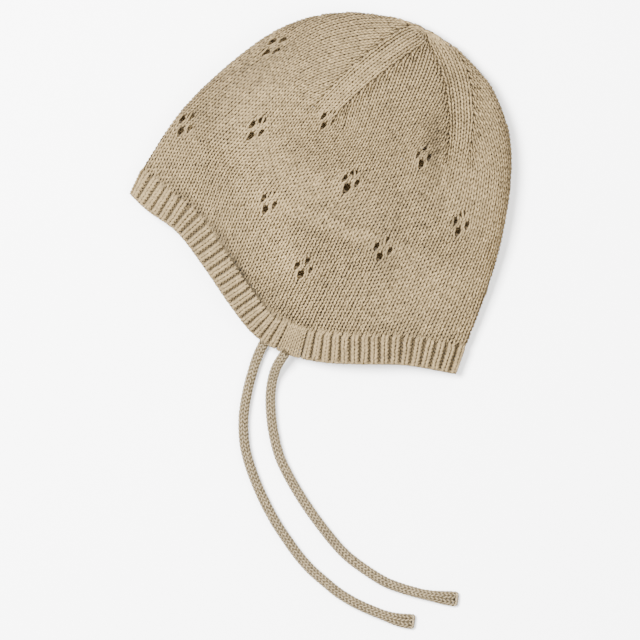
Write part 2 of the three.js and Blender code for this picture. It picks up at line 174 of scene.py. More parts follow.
MM = 0.001
TAU = 2 * math.pi

# The bonnet as it lies, as in the part.
CAP_DEPTH = 181.0
CAP_HEIGHT = 171.5
PUFF_HEIGHT = 34.0
CROWN_WALL = 2.4
FOLD_ROLL = 10.0
BAND_WIDTH = 12.7
BAND_WALL = 3.2
RIB_PITCH = 4.5
TAB_WIDTH = 11.8
TAB_WALL = 3.0
FOREHEAD_LEAN = math.radians(65)
NAPE_LEAN = math.radians(70)
FLAP_DROOP = 5.0
FLAP_SPREAD = 0.12
TIE_DIAMETER = 5.4
WALES = 120
COURSES = 76
FRONT_FOLD_WALE = -33
BACK_FOLD_WALE = 29
NEAR_WALES = BACK_FOLD_WALE - FRONT_FOLD_WALE
BACK_STRETCH = 0.06
DECREASE_START = 42
GORE_LINES = (-11.5, 16.5, 48.5, 78.5)
APEX_SHARE = 0.1
FULL_COURSE = 18
SIDE_COURSES = 15
FLAP_COURSES = 14.8
BACK_COURSES = 2.2
FLAP_MIDDLE = 0.58
FLAP_WIDTH = 0.17
BACK_MIDDLE = 0.92
BACK_WIDTH = 0.17
NEAR_EAR = 0.587
FAR_EAR = 0.532
PIECE_GAP = 0.3

# The photo's frame. A pixel stands for PIXEL millimetres of the surface, and the camera is straight
# above CAMERA_X and CAMERA_Y, as far away as its long lens needs.
PIXEL = 0.47
PHOTO_SIDE = 640
CAMERA_LENS = 400
CAMERA_SENSOR = 36
CAMERA_X = -0.5 * PIXEL
CAMERA_Y = -127 * PIXEL
CAMERA_HEIGHT = PHOTO_SIDE * PIXEL * CAMERA_LENS / CAMERA_SENSOR


def table(columns, rows):
    """A table with named columns: one array for each column."""
    return dict(zip(columns.split(), np.array(rows, float).T))


BRIM = table("at x y tuck", [
    (0.0, -0.497, -0.002, 0.0),
    (0.068, -0.451, -0.048, 0.004),
    (0.161, -0.373, -0.109, 0.006),
    (0.276, -0.3, -0.21, 0.006),
    (0.381, -0.238, -0.306, 0.007),
    (0.48, -0.173, -0.391, 0.009),
    (0.565, -0.097, -0.44, 0.02),
    (0.654, -0.006, -0.465, 0.033),
    (0.758, 0.103, -0.471, 0.034),
    (0.87, 0.219, -0.473, 0.02),
    (1.0, 0.355, -0.497, 0.0),
])
SECTIONS = table("at frontX frontY backX backY sag skew brim top fold drop", [
    (0.2368, -0.371, 0.218, 0.441, -0.249, 0.076, 0.64, 0.06, 0.82, 0.21, 1),
    (0.3947, -0.277, 0.32, 0.475, -0.119, 0.074, 0.54, 0, 0.97, 0.23, 1),
    (0.5526, -0.138, 0.433, 0.497, 0.042, 0.106, 0.56, 0, 1, 0.235, 1),
    (0.6842, -0.03, 0.483, 0.489, 0.172, 0.106, 0.39, 0, 0.92, 0.235, 1),
    (0.8158, 0.081, 0.497, 0.445, 0.29, 0.08, 0.22, 0, 0.74, 0.235, 1),
    (0.9211, 0.17, 0.486, 0.385, 0.365, 0.04, 0.11, 0, 0.5, 0.235, 0.95),
    (0.9737, 0.225, 0.472, 0.337, 0.41, 0.02, 0, 0, 0.34, 0.235, 0.5),
    (1, 0.273, 0.453, 0.273, 0.453, 0, 0, 0, 0.235, 0.235, 0),
])
BAND_HEIGHTS = {"edgeTop": 0.47, "edgeFold": 0.17, "seamTop": 0.6, "seamFold": 0.18}

# Soft dents in the upper half: wale, course, spans in wales and courses, share of the height.
DENTS = ((14, 50, 3.2, 8, 0.07), (-8, 52, 3.5, 9, 0.03))


def lerp(a, b, t):
    return a + (b - a) * t


def smooth_row(rows, at, key):
    """A cubic through a column of a table, with each row's slope taken across its neighbours."""
    x, y = rows["at"], rows[key]
    last = len(x) - 1
    i = np.clip(np.searchsorted(x, at, side="left") - 1, 0, last - 1)
    low = np.maximum(np.arange(last + 1) - 1, 0)
    high = np.minimum(np.arange(last + 1) + 1, last)
    slope = (y[high] - y[low]) / (x[high] - x[low])
    span = x[i + 1] - x[i]
    t = (at - x[i]) / span
    return (
        (2 * t**3 - 3 * t**2 + 1) * y[i]
        + (t**3 - 2 * t**2 + t) * span * slope[i]
        + (3 * t**2 - 2 * t**3) * y[i + 1]
        + (t**3 - t**2) * span * slope[i + 1]
    )


def bell(off):
    """A bell, 1 in its middle and exp(-1) where off is 1 away."""
    return np.exp(-(off**2))


def unit(v):
    """Vectors brought to length 1."""
    return v / np.maximum(np.linalg.norm(v, axis=-1, keepdims=True), 1e-12)


class Cap:
    """The bonnet's outer face. A place on it has a turn, from 0 at the front fold over the upper
    half to 1 at the back fold and under the lower half to 2, and a level, -1 at the knitted edge,
    0 at the seam and 1 at the apex. The face is worked out once on a fine grid and read between
    its points."""

    LEVELS = np.concatenate([np.linspace(-1, 0, 49), np.linspace(0, 1, 321)[1:]])
    HALF = 480
    COARSE_STEPS = 96
    EDGE_STEP = 0.01
    CORNER_FADE = 0.07
    # Seen from above, the stitches of the upper half keep their size, so its height counts less.
    NEAR_HEIGHT = 0.5

    def __init__(self):
        self.seam_front = self.seam(np.array(0.0), False)
        self.seam_back = self.seam(np.array(1.0), False)
        first = {
            "at": 0, "frontX": self.seam_front[0] / CAP_DEPTH,
            "frontY": self.seam_front[1] / CAP_HEIGHT, "backX": self.seam_back[0] / CAP_DEPTH,
            "backY": self.seam_back[1] / CAP_HEIGHT, "sag": 0, "skew": 0, "brim": 1,
            "top": BAND_HEIGHTS["seamTop"], "fold": BAND_HEIGHTS["seamFold"], "drop": 1,
        }
        self.rows = {k: np.concatenate([[first[k]], v]) for k, v in SECTIONS.items()}
        share = np.arange(self.HALF + 1) / self.HALF
        near, far = (self.half(share, side) for side in (False, True))
        self.points = np.concatenate([near, far[:, -2:0:-1]], axis=1)
        self.dent()
        self.normals = self.grid_normals(self.points)
        near, far = (self.half(share, side, True) for side in (False, True))
        self.rim_points = np.concatenate([near, far[:, -2:0:-1]], axis=1)
        self.rim_normals = self.grid_normals(self.rim_points)

    @staticmethod
    def edge(at, far):
        """The knitted edge in plan, and the direction from it into the bonnet."""
        def place(s):
            x, y = smooth_row(BRIM, s, "x") * CAP_DEPTH, smooth_row(BRIM, s, "y") * CAP_HEIGHT
            return np.stack([x, y], -1)

        step = Cap.EDGE_STEP
        along = place(np.minimum(at + step, 1)) - place(np.maximum(at - step, 0))
        inward = unit(np.stack([-along[..., 1], along[..., 0]], -1))
        for lean, reach in ((FOREHEAD_LEAN, -at), (NAPE_LEAN, at - 1)):
            own = np.exp(reach / Cap.CORNER_FADE)[..., None]
            inward = inward * (1 - own) + np.array([math.cos(lean), math.sin(lean)]) * own
        inward = unit(inward)
        tuck = np.where(far, smooth_row(BRIM, at, "tuck") * CAP_DEPTH, 0)
        return place(at) + tuck[..., None] * inward, inward

    def seam(self, at, far):
        point, inward = self.edge(at, far)
        return point + inward * BAND_WIDTH

    def place(self, level, across, far):
        """The outer face at a level, at a share of the way across from fold to fold."""
        level, across = np.broadcast_arrays(level, across)
        row = {k: smooth_row(self.rows, np.maximum(level, 0), k) for k in self.rows if k != "at"}
        in_band = np.minimum(level, 0) + 1
        band = level < 0
        heights = BAND_HEIGHTS
        top = np.where(band, lerp(heights["edgeTop"], heights["seamTop"], in_band), row["top"])
        fold = np.where(band, lerp(heights["edgeFold"], heights["seamFold"], in_band), row["fold"])
        droop = FLAP_DROOP * np.where(band, lerp(1, 0.6, in_band), 0.6 * row["brim"])
        front = np.stack([row["frontX"] * CAP_DEPTH, row["frontY"] * CAP_HEIGHT], -1)
        back = np.stack([row["backX"] * CAP_DEPTH, row["backY"] * CAP_HEIGHT], -1)
        chord = back - front
        width = np.linalg.norm(chord, axis=-1)
        down = unit(np.stack([chord[..., 1], -chord[..., 0]], -1))
        edge = self.edge(across, far)[0]
        seam = self.seam(across, far)
        side = across[..., None]
        hang = 4 * across * (1 - across) * (1 + row["skew"] * (1 - 2 * across))
        own = seam - lerp(self.seam_front, self.seam_back, side)
        body = lerp(front, back, side) + down * (row["sag"] * CAP_DEPTH * hang)[..., None]
        body = body + own * np.maximum(row["brim"], 0)[..., None]
        plan = np.where(band[..., None], lerp(edge, seam, in_band[..., None]), body)
        if far:
            roll = np.maximum(np.minimum(FOLD_ROLL, width / 2), 1e-6)
            rim = np.clip(1 - np.minimum(across, 1 - across) * width / roll, 0, 1)
            drop = np.clip(row["drop"], 0, 1) * np.sqrt(1 - rim * rim)
            z = PUFF_HEIGHT * fold * (1 - drop)
        else:
            arch = 2 * np.sqrt(np.maximum(across * (1 - across), 0))
            sunk = droop * bell((across - NEAR_EAR) / FLAP_SPREAD)
            z = PUFF_HEIGHT * lerp(fold, top, arch) - sunk
        return np.concatenate([plan, z[..., None]], -1)

    def half(self, share, far, square=False):
        """One half of every level, with its points spaced by the half's own length, or straight
        across from the points of the knitted edge where square is set."""
        steps = (1 - np.cos(np.pi * np.linspace(0, 1, self.COARSE_STEPS + 1))) / 2
        coarse = self.place(self.LEVELS[:, None], steps[None], far)
        weights = (1, 1, 1 if far else self.NEAR_HEIGHT)
        lengths = np.cumsum(np.linalg.norm(np.diff(coarse * weights, axis=1), axis=-1), 1)
        lengths = np.pad(lengths, ((0, 0), (1, 0)))
        even = share - BACK_STRETCH * share * (1 - share)
        lengths = np.broadcast_to(lengths[:1], lengths.shape) if square else lengths
        across = np.array([np.interp(even * own[-1], own, steps) for own in lengths])
        return self.place(self.LEVELS[:, None], across, far)

    def dent(self):
        """Sinks the soft dents into the upper half, each a bell of wales and courses."""
        near = self.HALF + 1
        wale = lerp(FRONT_FOLD_WALE, BACK_FOLD_WALE, np.arange(near) / self.HALF)[None]
        course = self.LEVELS[:, None] * COURSES
        for at_wale, at_course, wales, courses, depth in DENTS:
            share = bell((wale - at_wale) / wales) * bell((course - at_course) / courses)
            self.points[:, :near, 2] -= PUFF_HEIGHT * depth * share

    @staticmethod
    def grid_normals(p):
        """Outward normals: the cross product of the steps along a course and up a wale."""
        along = np.roll(p, -2, 1) - np.roll(p, 2, 1)
        up = np.empty_like(p)
        up[1:-1] = p[2:] - p[:-2]
        up[0], up[-1] = p[1] - p[0], p[-1] - p[-2]
        normal = unit(np.cross(along, up))
        normal[-1] = unit(normal[-4].mean(0))
        return normal

    def read(self, grid, turn, level):
        """A grid's values between its points, weighted by the nearness of the four round each."""
        row = np.interp(level, self.LEVELS, np.arange(len(self.LEVELS)))
        column = np.mod(turn, 2) * self.HALF
        i = np.minimum(row.astype(int), len(self.LEVELS) - 2)
        j = column.astype(int) % (2 * self.HALF)
        k = (j + 1) % (2 * self.HALF)
        fi, fj = (row - i)[..., None], (column - np.floor(column))[..., None]
        low = lerp(grid[i, j], grid[i, k], fj)
        high = lerp(grid[i + 1, j], grid[i + 1, k], fj)
        return lerp(low, high, fi)

    def face(self, turn, level):
        """Points of the outer face and its normals."""
        return self.read(self.points, turn, level), unit(self.read(self.normals, turn, level))

    def rim(self, turn, level):
        """The same for the bands, whose ribs run straight across from the knitted edge."""
        point = self.read(self.rim_points, turn, level)
        return point, unit(self.read(self.rim_normals, turn, level))


def turn_of(wale):
    """Where a wale lies on the loop: the upper half holds those from fold to fold."""
    past = np.mod(wale - FRONT_FOLD_WALE, WALES)
    over = 1 + (past - NEAR_WALES) / (WALES - NEAR_WALES)
    return np.where(past <= NEAR_WALES, past / NEAR_WALES, over)


def low_courses(wale):
    """How many courses lie between the lowest full course and the seam at a wale."""
    turn = turn_of(wale)
    share = np.where(turn > 1, 2 - turn, turn)
    back = BACK_COURSES * bell((turn - BACK_MIDDLE) / BACK_WIDTH)
    return back + SIDE_COURSES + FLAP_COURSES * bell((share - FLAP_MIDDLE) / FLAP_WIDTH)


TOP_LEVEL = 0.999


def level_of(wale, course):
    """The level of a course at a wale. The courses below the lowest full one are spaced so that
    they end at the seam."""
    below = FULL_COURSE / COURSES * (1 - (FULL_COURSE - course) / low_courses(wale))
    return np.clip(np.where(course >= FULL_COURSE, course / COURSES, below), -1, TOP_LEVEL)


# The yarn and its loops, and the usual pitch of the crown's wales and courses.
YARN_RADIUS = 0.58
LOOP_STEPS = 9
YARN_SIDES = 5
LOOP_LEAN = 1.4
LOOP_REACH = 0.84
LOOP_DEPTH = 0.62
WALE_PITCH = 2.86
COURSE_PITCH = 1.92
YARN_POINT = 0.02  # The radius to which a yarn is thinned at its ends.


def loop_line(steps, lean=LOOP_LEAN, reach=LOOP_REACH):
    """A loop with its foot at t = -pi, its head at 0 and its next foot at pi. It runs across by
    (t + lean sin 2t) / 2 pi wales, up by reach cos t courses and out by -cos 2t of its depth."""
    t = -math.pi + TAU * np.arange(steps) / steps
    return (t + lean * np.sin(2 * t)) / TAU, reach * np.cos(t), -np.cos(2 * t)


class Yarns:
    """Tubes of yarn collected into one mesh: a ring of corners round each point of each line."""

    def __init__(self, sides=YARN_SIDES):
        self.sides = sides
        self.points, self.faces, self.strands, self.lifts, self.tones = [], [], [], [], []
        self.caps = []
        self.count = 0

    def add(self, line, normal, radius, lift, closed=False, kept=None, tone=0.0):
        """One yarn along line. lift is how far each point lies out from the cloth's middle, and sets the
        painted shade between strands, darker where it is low. tone is how much lighter the yarn is there,
        its random tone together with painted light and shade. kept says for each point whether the stretch
        that starts there is wanted, and yarns are thinned to nothing where such stretches end."""
        n, s = len(line), self.sides
        radius = np.broadcast_to(np.asarray(radius, float), (n,)).copy()
        stretch = np.ones(n, bool) if kept is None else kept.copy()
        if not closed:
            stretch[-1] = False
            radius[0] = radius[-1] = YARN_POINT
        before = np.roll(stretch, 1)
        radius[stretch != before] = YARN_POINT
        ahead, behind = np.roll(line, -1, 0), np.roll(line, 1, 0)
        if not closed:
            ahead[-1], behind[0] = line[-1], line[0]
        tangent = unit(ahead - behind)
        side = unit(np.cross(tangent, normal))
        out = np.cross(side, tangent)
        angle = TAU * (np.arange(s) + 0.5) / s
        cos, sin = np.cos(angle)[:, None], np.sin(angle)[:, None]
        ring = cos * side[:, None] + sin * out[:, None]
        points = line[:, None] + ring * radius[:, None, None]
        lift = np.broadcast_to(lift, (n,))[:, None] + sin.T * radius[:, None]
        self.lifts.append(np.abs(lift).ravel())
        self.tones.append(np.repeat(np.broadcast_to(tone, (n,)), s))
        length = np.concatenate([[0], np.cumsum(np.linalg.norm(np.diff(line, axis=0), axis=1))])
        end = length[-1] + np.linalg.norm(line[0] - line[-1])
        i = np.nonzero(stretch)[0]
        j = (i + 1) % n
        k = np.arange(s)
        m = (k + 1) % s
        a, b = i[:, None] * s + k, i[:, None] * s + m
        c, d = j[:, None] * s + m, j[:, None] * s + k
        self.faces.append(np.stack([a, b, c, d], -1).reshape(-1, 4) + self.count)
        u0 = np.broadcast_to(length[i][:, None], a.shape)
        u1 = np.broadcast_to(np.where(j == 0, end, length[j])[:, None], a.shape)
        v0, v1 = np.broadcast_to(k / s, a.shape), np.broadcast_to((k + 1) / s, a.shape)
        uv = np.stack([u0, v0, u0, v1, u1, v1, u1, v0], -1).reshape(-1, 4, 2)
        self.strands.append(uv)
        first = i[~stretch[i - 1]]
        last = j[~stretch[j]]
        self.caps.append(first[:, None] * s + k[::-1] + self.count)
        self.caps.append(last[:, None] * s + k + self.count)
        self.points.append(points.reshape(-1, 3))
        self.count += n * s

    def mesh(self, name):
        """One mesh of all yarns, without the corners that no face uses."""
        points = np.concatenate(self.points)
        faces = np.concatenate(self.faces)
        caps = np.concatenate(self.caps)
        used = np.zeros(len(points), bool)
        used[faces.ravel()] = True
        index = np.cumsum(used) - 1
        strands = np.concatenate(self.strands)
        mesh = solid_mesh(name, points[used] * MM, index[faces], index[caps], strands)
        for key, values in (("Lift", self.lifts), ("ToneAndPaintedShading", self.tones)):
            layer = mesh.attributes.new(key, "FLOAT", "POINT")
            layer.data.foreach_set("value", np.concatenate(values)[used].astype(np.float32))
        return mesh


def solid_mesh(name, points, faces, caps=None, uv=None):
    """A smooth mesh in metres from arrays of four-sided faces and of caps with more corners."""
    mesh = bpy.data.meshes.new(name)
    mesh.vertices.add(len(points))
    mesh.vertices.foreach_set("co", points.astype(np.float32).ravel())
    corners, sides = faces.ravel(), np.full(len(faces), 4)
    if caps is not None:
        corners = np.concatenate([corners, caps.ravel()])
        sides = np.concatenate([sides, np.full(len(caps), caps.shape[1])])
    mesh.loops.add(len(corners))
    mesh.loops.foreach_set("vertex_index", corners.astype(np.int32))
    mesh.polygons.add(len(sides))
    starts = np.cumsum(sides) - sides
    mesh.polygons.foreach_set("loop_start", starts.astype(np.int32))
    mesh.polygons.foreach_set("loop_total", sides.astype(np.int32))
    mesh.polygons.foreach_set("use_smooth", np.ones(len(sides), bool))
    if uv is not None:
        layer = mesh.uv_layers.new(name="Strand")
        flat = np.zeros((len(corners), 2), np.float32)
        flat[:faces.size] = uv.reshape(-1, 2)
        layer.data.foreach_set("uv", flat.ravel())
    mesh.update()
    mesh.validate()
    return mesh


def piece(name, mesh, material, nodes, slot):
    """A finished object that rides on the body and stands for these nodes of the part."""
    made = bpy.data.objects.new(name, mesh)
    bpy.context.scene.collection.objects.link(made)
    mesh.materials.append(material)
    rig.ride(made, "root")
    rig.replaces(made, *nodes)
    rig.slot(made, slot)
    return made


cap = Cap()


# Openwork flowers: four eyelets each, on a staggered chart of wales and courses. Each eyelet has
# its place from the flower's middle, the half lengths of its two axes and the tilt of the first
# from the course's own direction.
FLOWER_WALES = 10
FLOWER_COURSES = 12
FLOWER_START = 6
FLOWER_ROWS = 4
EYELETS = (
    (-0.05, -1.87, 1.55, 1.35, 100),
    (-1.1, 0, 1.5, 1.1, 82),
    (0.95, 0, 1.3, 1.05, 62),
    (-0.22, 1.98, 1.55, 1.1, 62),
)
# For the flowers that lie uppermost: a turn of all the tilts, and how far open each eyelet is.
FLOWER_LOOKS = {
    (-30, 18): (32, 1.1, 1.25, 1.1, 1.15), (-30, 42): (32, 1.1, 1.25, 1.1, 1.1),
    (-20, 30): (28, 1.05, 1.15, 0.9, 1.2), (-10, 18): (17, 1.1, 0.95, 0.9, 0.5),
    (-10, 42): (15, 0.85, 0.85, 0.4, 0.6), (0, 6): (-15, 1.1, 0.95, 0.6, 1.0),
    (0, 30): (-15, 1.25, 0.9, 0.9, 0.9), (10, 18): (-15, 1.15, 1.0, 1.0, 0.75),
    (10, 42): (0, 1.05, 0.7, 0.85, 0.8), (20, 30): (3, 1.1, 1.1, 1.05, 0.9),
}
COMMON_LOOK = (0, 0.95, 0.95, 0.9, 0.9)


def flowers():
    """The places of all flowers, with how far open each is. They stand on every other crossing of
    the chart, and its lowest row has only those under the ears."""
    found = []
    columns = WALES // FLOWER_WALES
    for column in range(columns):
        for row in range(FLOWER_ROWS):
            under_ear = column % (columns // 2) == 0
            if (column + row) % 2 == 1 or (row == 0 and not under_ear):
                continue
            wale = column * FLOWER_WALES
            course = FLOWER_START + row * FLOWER_COURSES
            own = (wale - WALES if wale >= WALES + FRONT_FOLD_WALE else wale, course)
            found.append((wale, course, FLOWER_LOOKS.get(own, COMMON_LOOK)))
    return found


# The flowers of the upper half: their places on the chart, and the pixels of the photo at which
# their middles are seen. The cloth is pulled a little so that they lie there, and between them the
# pull fades over PULL_SPAN wales and courses.
SEEN_FLOWERS = table("wale course x y", [
    (-30, 18, 186.7, 124.0),
    (-30, 42, 275.0, 46.6),
    (-20, 30, 257.2, 128.5),
    (-10, 18, 269.1, 201.7),
    (-10, 42, 328.4, 119.3),
    (0, 6, 304.1, 267.4),
    (0, 30, 351.0, 180.5),
    (10, 18, 383.0, 249.0),
    (10, 42, 423.4, 156.0),
    (20, 30, 460.7, 223.3),
])
PULL_SPAN = (8.0, 10.0)
PULL_ROUNDS = 30
PULL_STEP = 0.1
PULL_SHARE = 0.8


def seen(wale, course):
    """The pixel at which the middle of the cloth is seen: its place in plan from the camera's axis,
    made larger by how much nearer than the surface it is."""
    point, normal = cap.face(turn_of(wale), level_of(wale, course))
    point = point - normal * CROWN_WALL / 2
    scale = CAMERA_HEIGHT / (CAMERA_HEIGHT - point[:, 2]) / PIXEL
    right, up = (point[:, 0] - CAMERA_X) * scale, (point[:, 1] - CAMERA_Y) * scale
    return np.stack([PHOTO_SIDE / 2 + right, PHOTO_SIDE / 2 - up], -1)


def pull_bells():
    """The places of the flowers of the upper half on the chart, and the heights of the bells, one
    round each, that add up to every flower's shift. Newton's steps find the shift."""
    at = np.stack([SEEN_FLOWERS["wale"], SEEN_FLOWERS["course"]], -1)
    aim = np.stack([SEEN_FLOWERS["x"], SEEN_FLOWERS["y"]], -1)
    place = at.copy()
    for _ in range(PULL_ROUNDS):
        wale, course = place.T
        across = seen(wale + PULL_STEP, course) - seen(wale - PULL_STEP, course)
        up = seen(wale, course + PULL_STEP) - seen(wale, course - PULL_STEP)
        slope = np.stack([across, up], -1) / (2 * PULL_STEP)
        miss = seen(wale, course) - aim
        place = place - PULL_SHARE * np.linalg.solve(slope, miss[..., None])[..., 0]
    gap = (at[:, None] - at[None]) / PULL_SPAN
    return at, np.linalg.solve(bell(gap).prod(-1), place - at)


PULLED, PULL_HEIGHTS = pull_bells()


def pull(wale, course):
    """Where the pulled cloth's wale and course lie on the crown."""
    side = np.mod(wale + WALES / 2, WALES) - WALES / 2
    moved = [wale, course]
    for (at_wale, at_course), heights in zip(PULLED, PULL_HEIGHTS):
        share = bell((side - at_wale) / PULL_SPAN[0]) * bell((course - at_course) / PULL_SPAN[1])
        moved = [moved[k] + share * heights[k] for k in range(2)]
    return moved


def cloth(wale, course):
    """The outer face where the pulled cloth has this wale and course."""
    wale, course = pull(np.asarray(wale, float), np.asarray(course, float))
    return cap.face(turn_of(wale), level_of(wale, course))


def cloth_axes(wale, course):
    """A matrix from wales and courses near a place to millimetres in the face's own plane, its
    first axis along the course."""
    ends = cloth([wale + 0.5, wale - 0.5, wale, wale],
                 [course, course, course + 0.5, course - 0.5])[0]
    along, up = ends[0] - ends[1], ends[2] - ends[3]
    length = np.linalg.norm(along)
    lean = up @ along / length
    return np.array([[length, lean], [0, math.sqrt(up @ up - lean * lean)]])


FLOWERS = [(wale, course, look, cloth_axes(wale, course)) for wale, course, look in flowers()]
EYELET_POWER = 2.6
EYELET_REACH = (5, 8)  # Wales and courses from a flower's middle beyond which nothing moves.


def open_eyelets(wale, course, sizes):
    """Moves yarn aside from every eyelet. At a distance d from an eyelet's middle, counted in
    its own half axes plus the yarn, a point moves out to (d^p + 1)^(1/p), p the eyelets' power."""
    wale, course = wale.copy(), course.copy()
    for at_wale, at_course, look, axes in FLOWERS:
        off = np.mod(wale - at_wale + WALES / 2, WALES) - WALES / 2
        close = (np.abs(off) < EYELET_REACH[0]) & (np.abs(course - at_course) < EYELET_REACH[1])
        if not close.any():
            continue
        place = np.stack([off[close], course[close] - at_course])
        move = np.zeros_like(place)
        for (side, rise, long, short, tilt), own in zip(EYELETS, look[1:]):
            share = own * sizes.eyelets
            tilt = math.radians(tilt + look[0])
            away = axes @ (place - np.array([[side], [rise]]))
            reach = 0.9 * sizes.crown_yarn / MM
            p = (away[0] * math.cos(tilt) + away[1] * math.sin(tilt)) / (long * share + reach)
            q = (away[1] * math.cos(tilt) - away[0] * math.sin(tilt)) / (short * share + reach)
            d = np.maximum(np.hypot(p, q), 0.05)
            move += away * ((d**EYELET_POWER + 1) ** (1 / EYELET_POWER) / d - 1)
        move = np.linalg.inv(axes) @ move
        wale[close] += move[0]
        course[close] += move[1]
    return wale, course


# Painted light and shade standing in for soft folds of the upper half, which the shape doesn't have:
# each patch is painted lighter or darker. Columns: middle in plan, half lengths along and across, the
# turn of the first, and the share of light.
PAINTED_FOLD_LIGHT = (
    (53, 20, 20, 5, 88, -0.2),
    (33, -24, 24, 10, 80, -0.1),
    (14, -6, 14, 10, 30, -0.06),
    (-15, -34, 32, 8, -65, 0.15),
    (-33, 58, 20, 9, 35, -0.17),
    (-56, 34, 16, 8, 50, -0.08),
    (-55, -15, 24, 5, -48, -0.14),
    (84, -24, 30, 9, 80, 0.12),
    (-36, 8, 14, 6, -50, 0.07),
)


def painted_fold_light(point, normal):
    """Painted light and shade of the soft folds at points of the upper half, each a bell: the share by which the yarn
    is painted lighter or darker.
    """
    tone = np.zeros(point.shape[:-1])
    for x, y, long, short, turn, share in PAINTED_FOLD_LIGHT:
        turn = math.radians(turn)
        dx, dy = point[..., 0] - x, point[..., 1] - y
        p = (dx * math.cos(turn) + dy * math.sin(turn)) / long
        q = (dy * math.cos(turn) - dx * math.sin(turn)) / short
        tone += share * bell(p) * bell(q)
    return np.where(normal[..., 2] > 0, tone, 0)


BORDER_WALES = 2
LINE_ROOM = 2.4  # The half width in wales below which even the wales next to a line get narrower.


def gore_wales(course, height):
    """The wales of a course as places on the loop at each height, for every gore in turn. The
    two wales next to a line keep their distance from it, and the inner ones keep theirs from the
    middle until the line reaches them."""
    found, borders = [], []
    for g, line in enumerate(GORE_LINES):
        nxt = GORE_LINES[g + 1] if g + 1 < len(GORE_LINES) else GORE_LINES[0] + WALES
        half = (nxt - line) / 2
        q = np.arange(0.5 - half, half, 1.0)

        def width(at):
            return half * lerp(1, APEX_SHARE, np.clip(
                (at - DECREASE_START) / (COURSES - DECREASE_START), 0, 1))

        own = width(course)
        border = np.abs(q) > half - BORDER_WALES
        inner = np.maximum(own - BORDER_WALES, 0)
        left, right = np.minimum(np.abs(q) - 0.5, inner), np.minimum(np.abs(q) + 0.5, inner)
        keep = border | (right - left > 0.5)
        q, border = q[keep], border[keep]
        size = np.abs(q)[:, None]
        at = width(course + height)[None]
        inner = np.maximum(at - BORDER_WALES, 0)
        inside = (np.minimum(size - 0.5, inner) + np.minimum(size + 0.5, inner)) / 2
        from_line = (half - size) * np.minimum(1, at / LINE_ROOM)
        place = np.sign(q)[:, None] * np.where(border[:, None], at - from_line, inside)
        found.append((line + nxt) / 2 + place * half / at)
        borders.append(border)
    return np.concatenate(found), np.concatenate(borders)


# How far the stitches of the crown stray, each from the others: in wales, in courses, in the share
# of their height, in millimetres of depth and in tone.
STRAY = {"wale": 0.035, "course": 0.05, "height": 0.05, "depth": 0.04, "tone": 0.04}
RIDGE_RISE = 0.45
RIDGE_COURSES = 6
SEAM_SINK = 0.75
# Painted shade along the seam: the wale round which the first courses over it are painted darkest, and the spread in
# wales.
SEAM_SHADE_WALE = -17
SEAM_SHADE_WIDTH = 9


def crown_course(yarns, course, rng, sizes):
    """One course of the crown: a ring of loops, left out below the seam. The yarn is thinner where
    the stitches are small, next to the seam and on the steep rim, and thicker in the lower half."""
    across, up, out = loop_line(LOOP_STEPS)
    places, border = gore_wales(course, up)
    n = len(places)
    order = np.argsort(places[:, 0])
    places, border = places[order], border[order]
    ahead = np.roll(places, -1, 0)
    ahead[-1] += WALES
    behind = np.roll(places, 1, 0)
    behind[0] -= WALES
    step = np.where(across >= 0, ahead - places, places - behind)
    wale = places + across * step
    middle = LOOP_STEPS // 2
    corners = [cloth(places[:, middle] + w * step[:, middle], course + c)[0]
               for w, c in ((-0.5, 0), (0.5, 0), (0, -0.5), (0, 0.5))]
    pitch, rise = (np.linalg.norm((corners[k + 1] - corners[k]) * (1, 1, Cap.NEAR_HEIGHT), axis=1)
                   for k in (0, 2))
    fit = np.clip(np.sqrt(pitch * rise / (WALE_PITCH * COURSE_PITCH)), 0.6, 1.1)[:, None]
    wale = wale + rng.normal(0, STRAY["wale"], (n, 1))
    height = course + up * (1 + rng.normal(0, STRAY["height"], (n, 1)))
    height = height + rng.normal(0, STRAY["course"], (n, 1))
    wale, height = pull(*open_eyelets(wale, height, sizes))
    level = level_of(wale, height)
    ridge = min(course - DECREASE_START + 2, COURSES - 3 - course) / RIDGE_COURSES
    ridge = border[:, None] * np.clip(ridge, 0, 1)
    under = turn_of(places[:, :1]) > 1
    relief = np.where(under, 0, RIDGE_RISE * ridge)
    point, normal = cap.face(turn_of(wale), level)
    loop_depth = sizes.loop_depth / MM
    from_seam = np.maximum(level, 0) * COURSES
    depth = -CROWN_WALL / 2 + out * loop_depth + relief + rng.normal(0, STRAY["depth"], (n, 1))
    depth = depth - SEAM_SINK * bell(from_seam / 0.9)
    line = point + normal * depth[..., None]
    seam = FULL_COURSE - low_courses(places[:, :1] + 0 * up)
    kept = np.broadcast_to(course > seam + 0.4, wale.shape)
    from_line = np.mod(places[:, :1] - GORE_LINES[0] + WALES / 2, WALES) - WALES / 2
    # The lift sets the painted shade between strands; the ridge wales by the first gore line get more lift and so are
    # painted lighter.
    lift = out * loop_depth + 0.5 * ridge * (np.abs(from_line) < BORDER_WALES + 1)
    steep = np.clip(1 - np.abs(normal[..., 2]), 0, 1)
    radius = sizes.crown_yarn / MM * fit**1.8 * (1 - 0.16 * bell(from_seam / 1.6))
    radius = radius * np.where(under, 1.25, 1 - 0.5 * steep)
    # Painted shade along the seam: the first courses above it are painted darker, most round the wale given above.
    drawn = bell((places[:, :1] - SEAM_SHADE_WALE) / SEAM_SHADE_WIDTH)
    painted_seam_shade = (0.07 + 0.12 * drawn) * bell(from_seam / 2.4) + 0.3 * drawn * bell(from_seam / 0.8)
    # The tone is a random tone of each stitch plus painted light and shade of soft folds, less the painted shade along
    # the seam.
    tone = painted_fold_light(point, normal) - painted_seam_shade + rng.normal(0, STRAY["tone"], (n, 1))
    yarns.add(line.reshape(-1, 3), normal.reshape(-1, 3), radius.ravel(),
              lift.ravel(), True, kept.reshape(-1), tone.ravel())


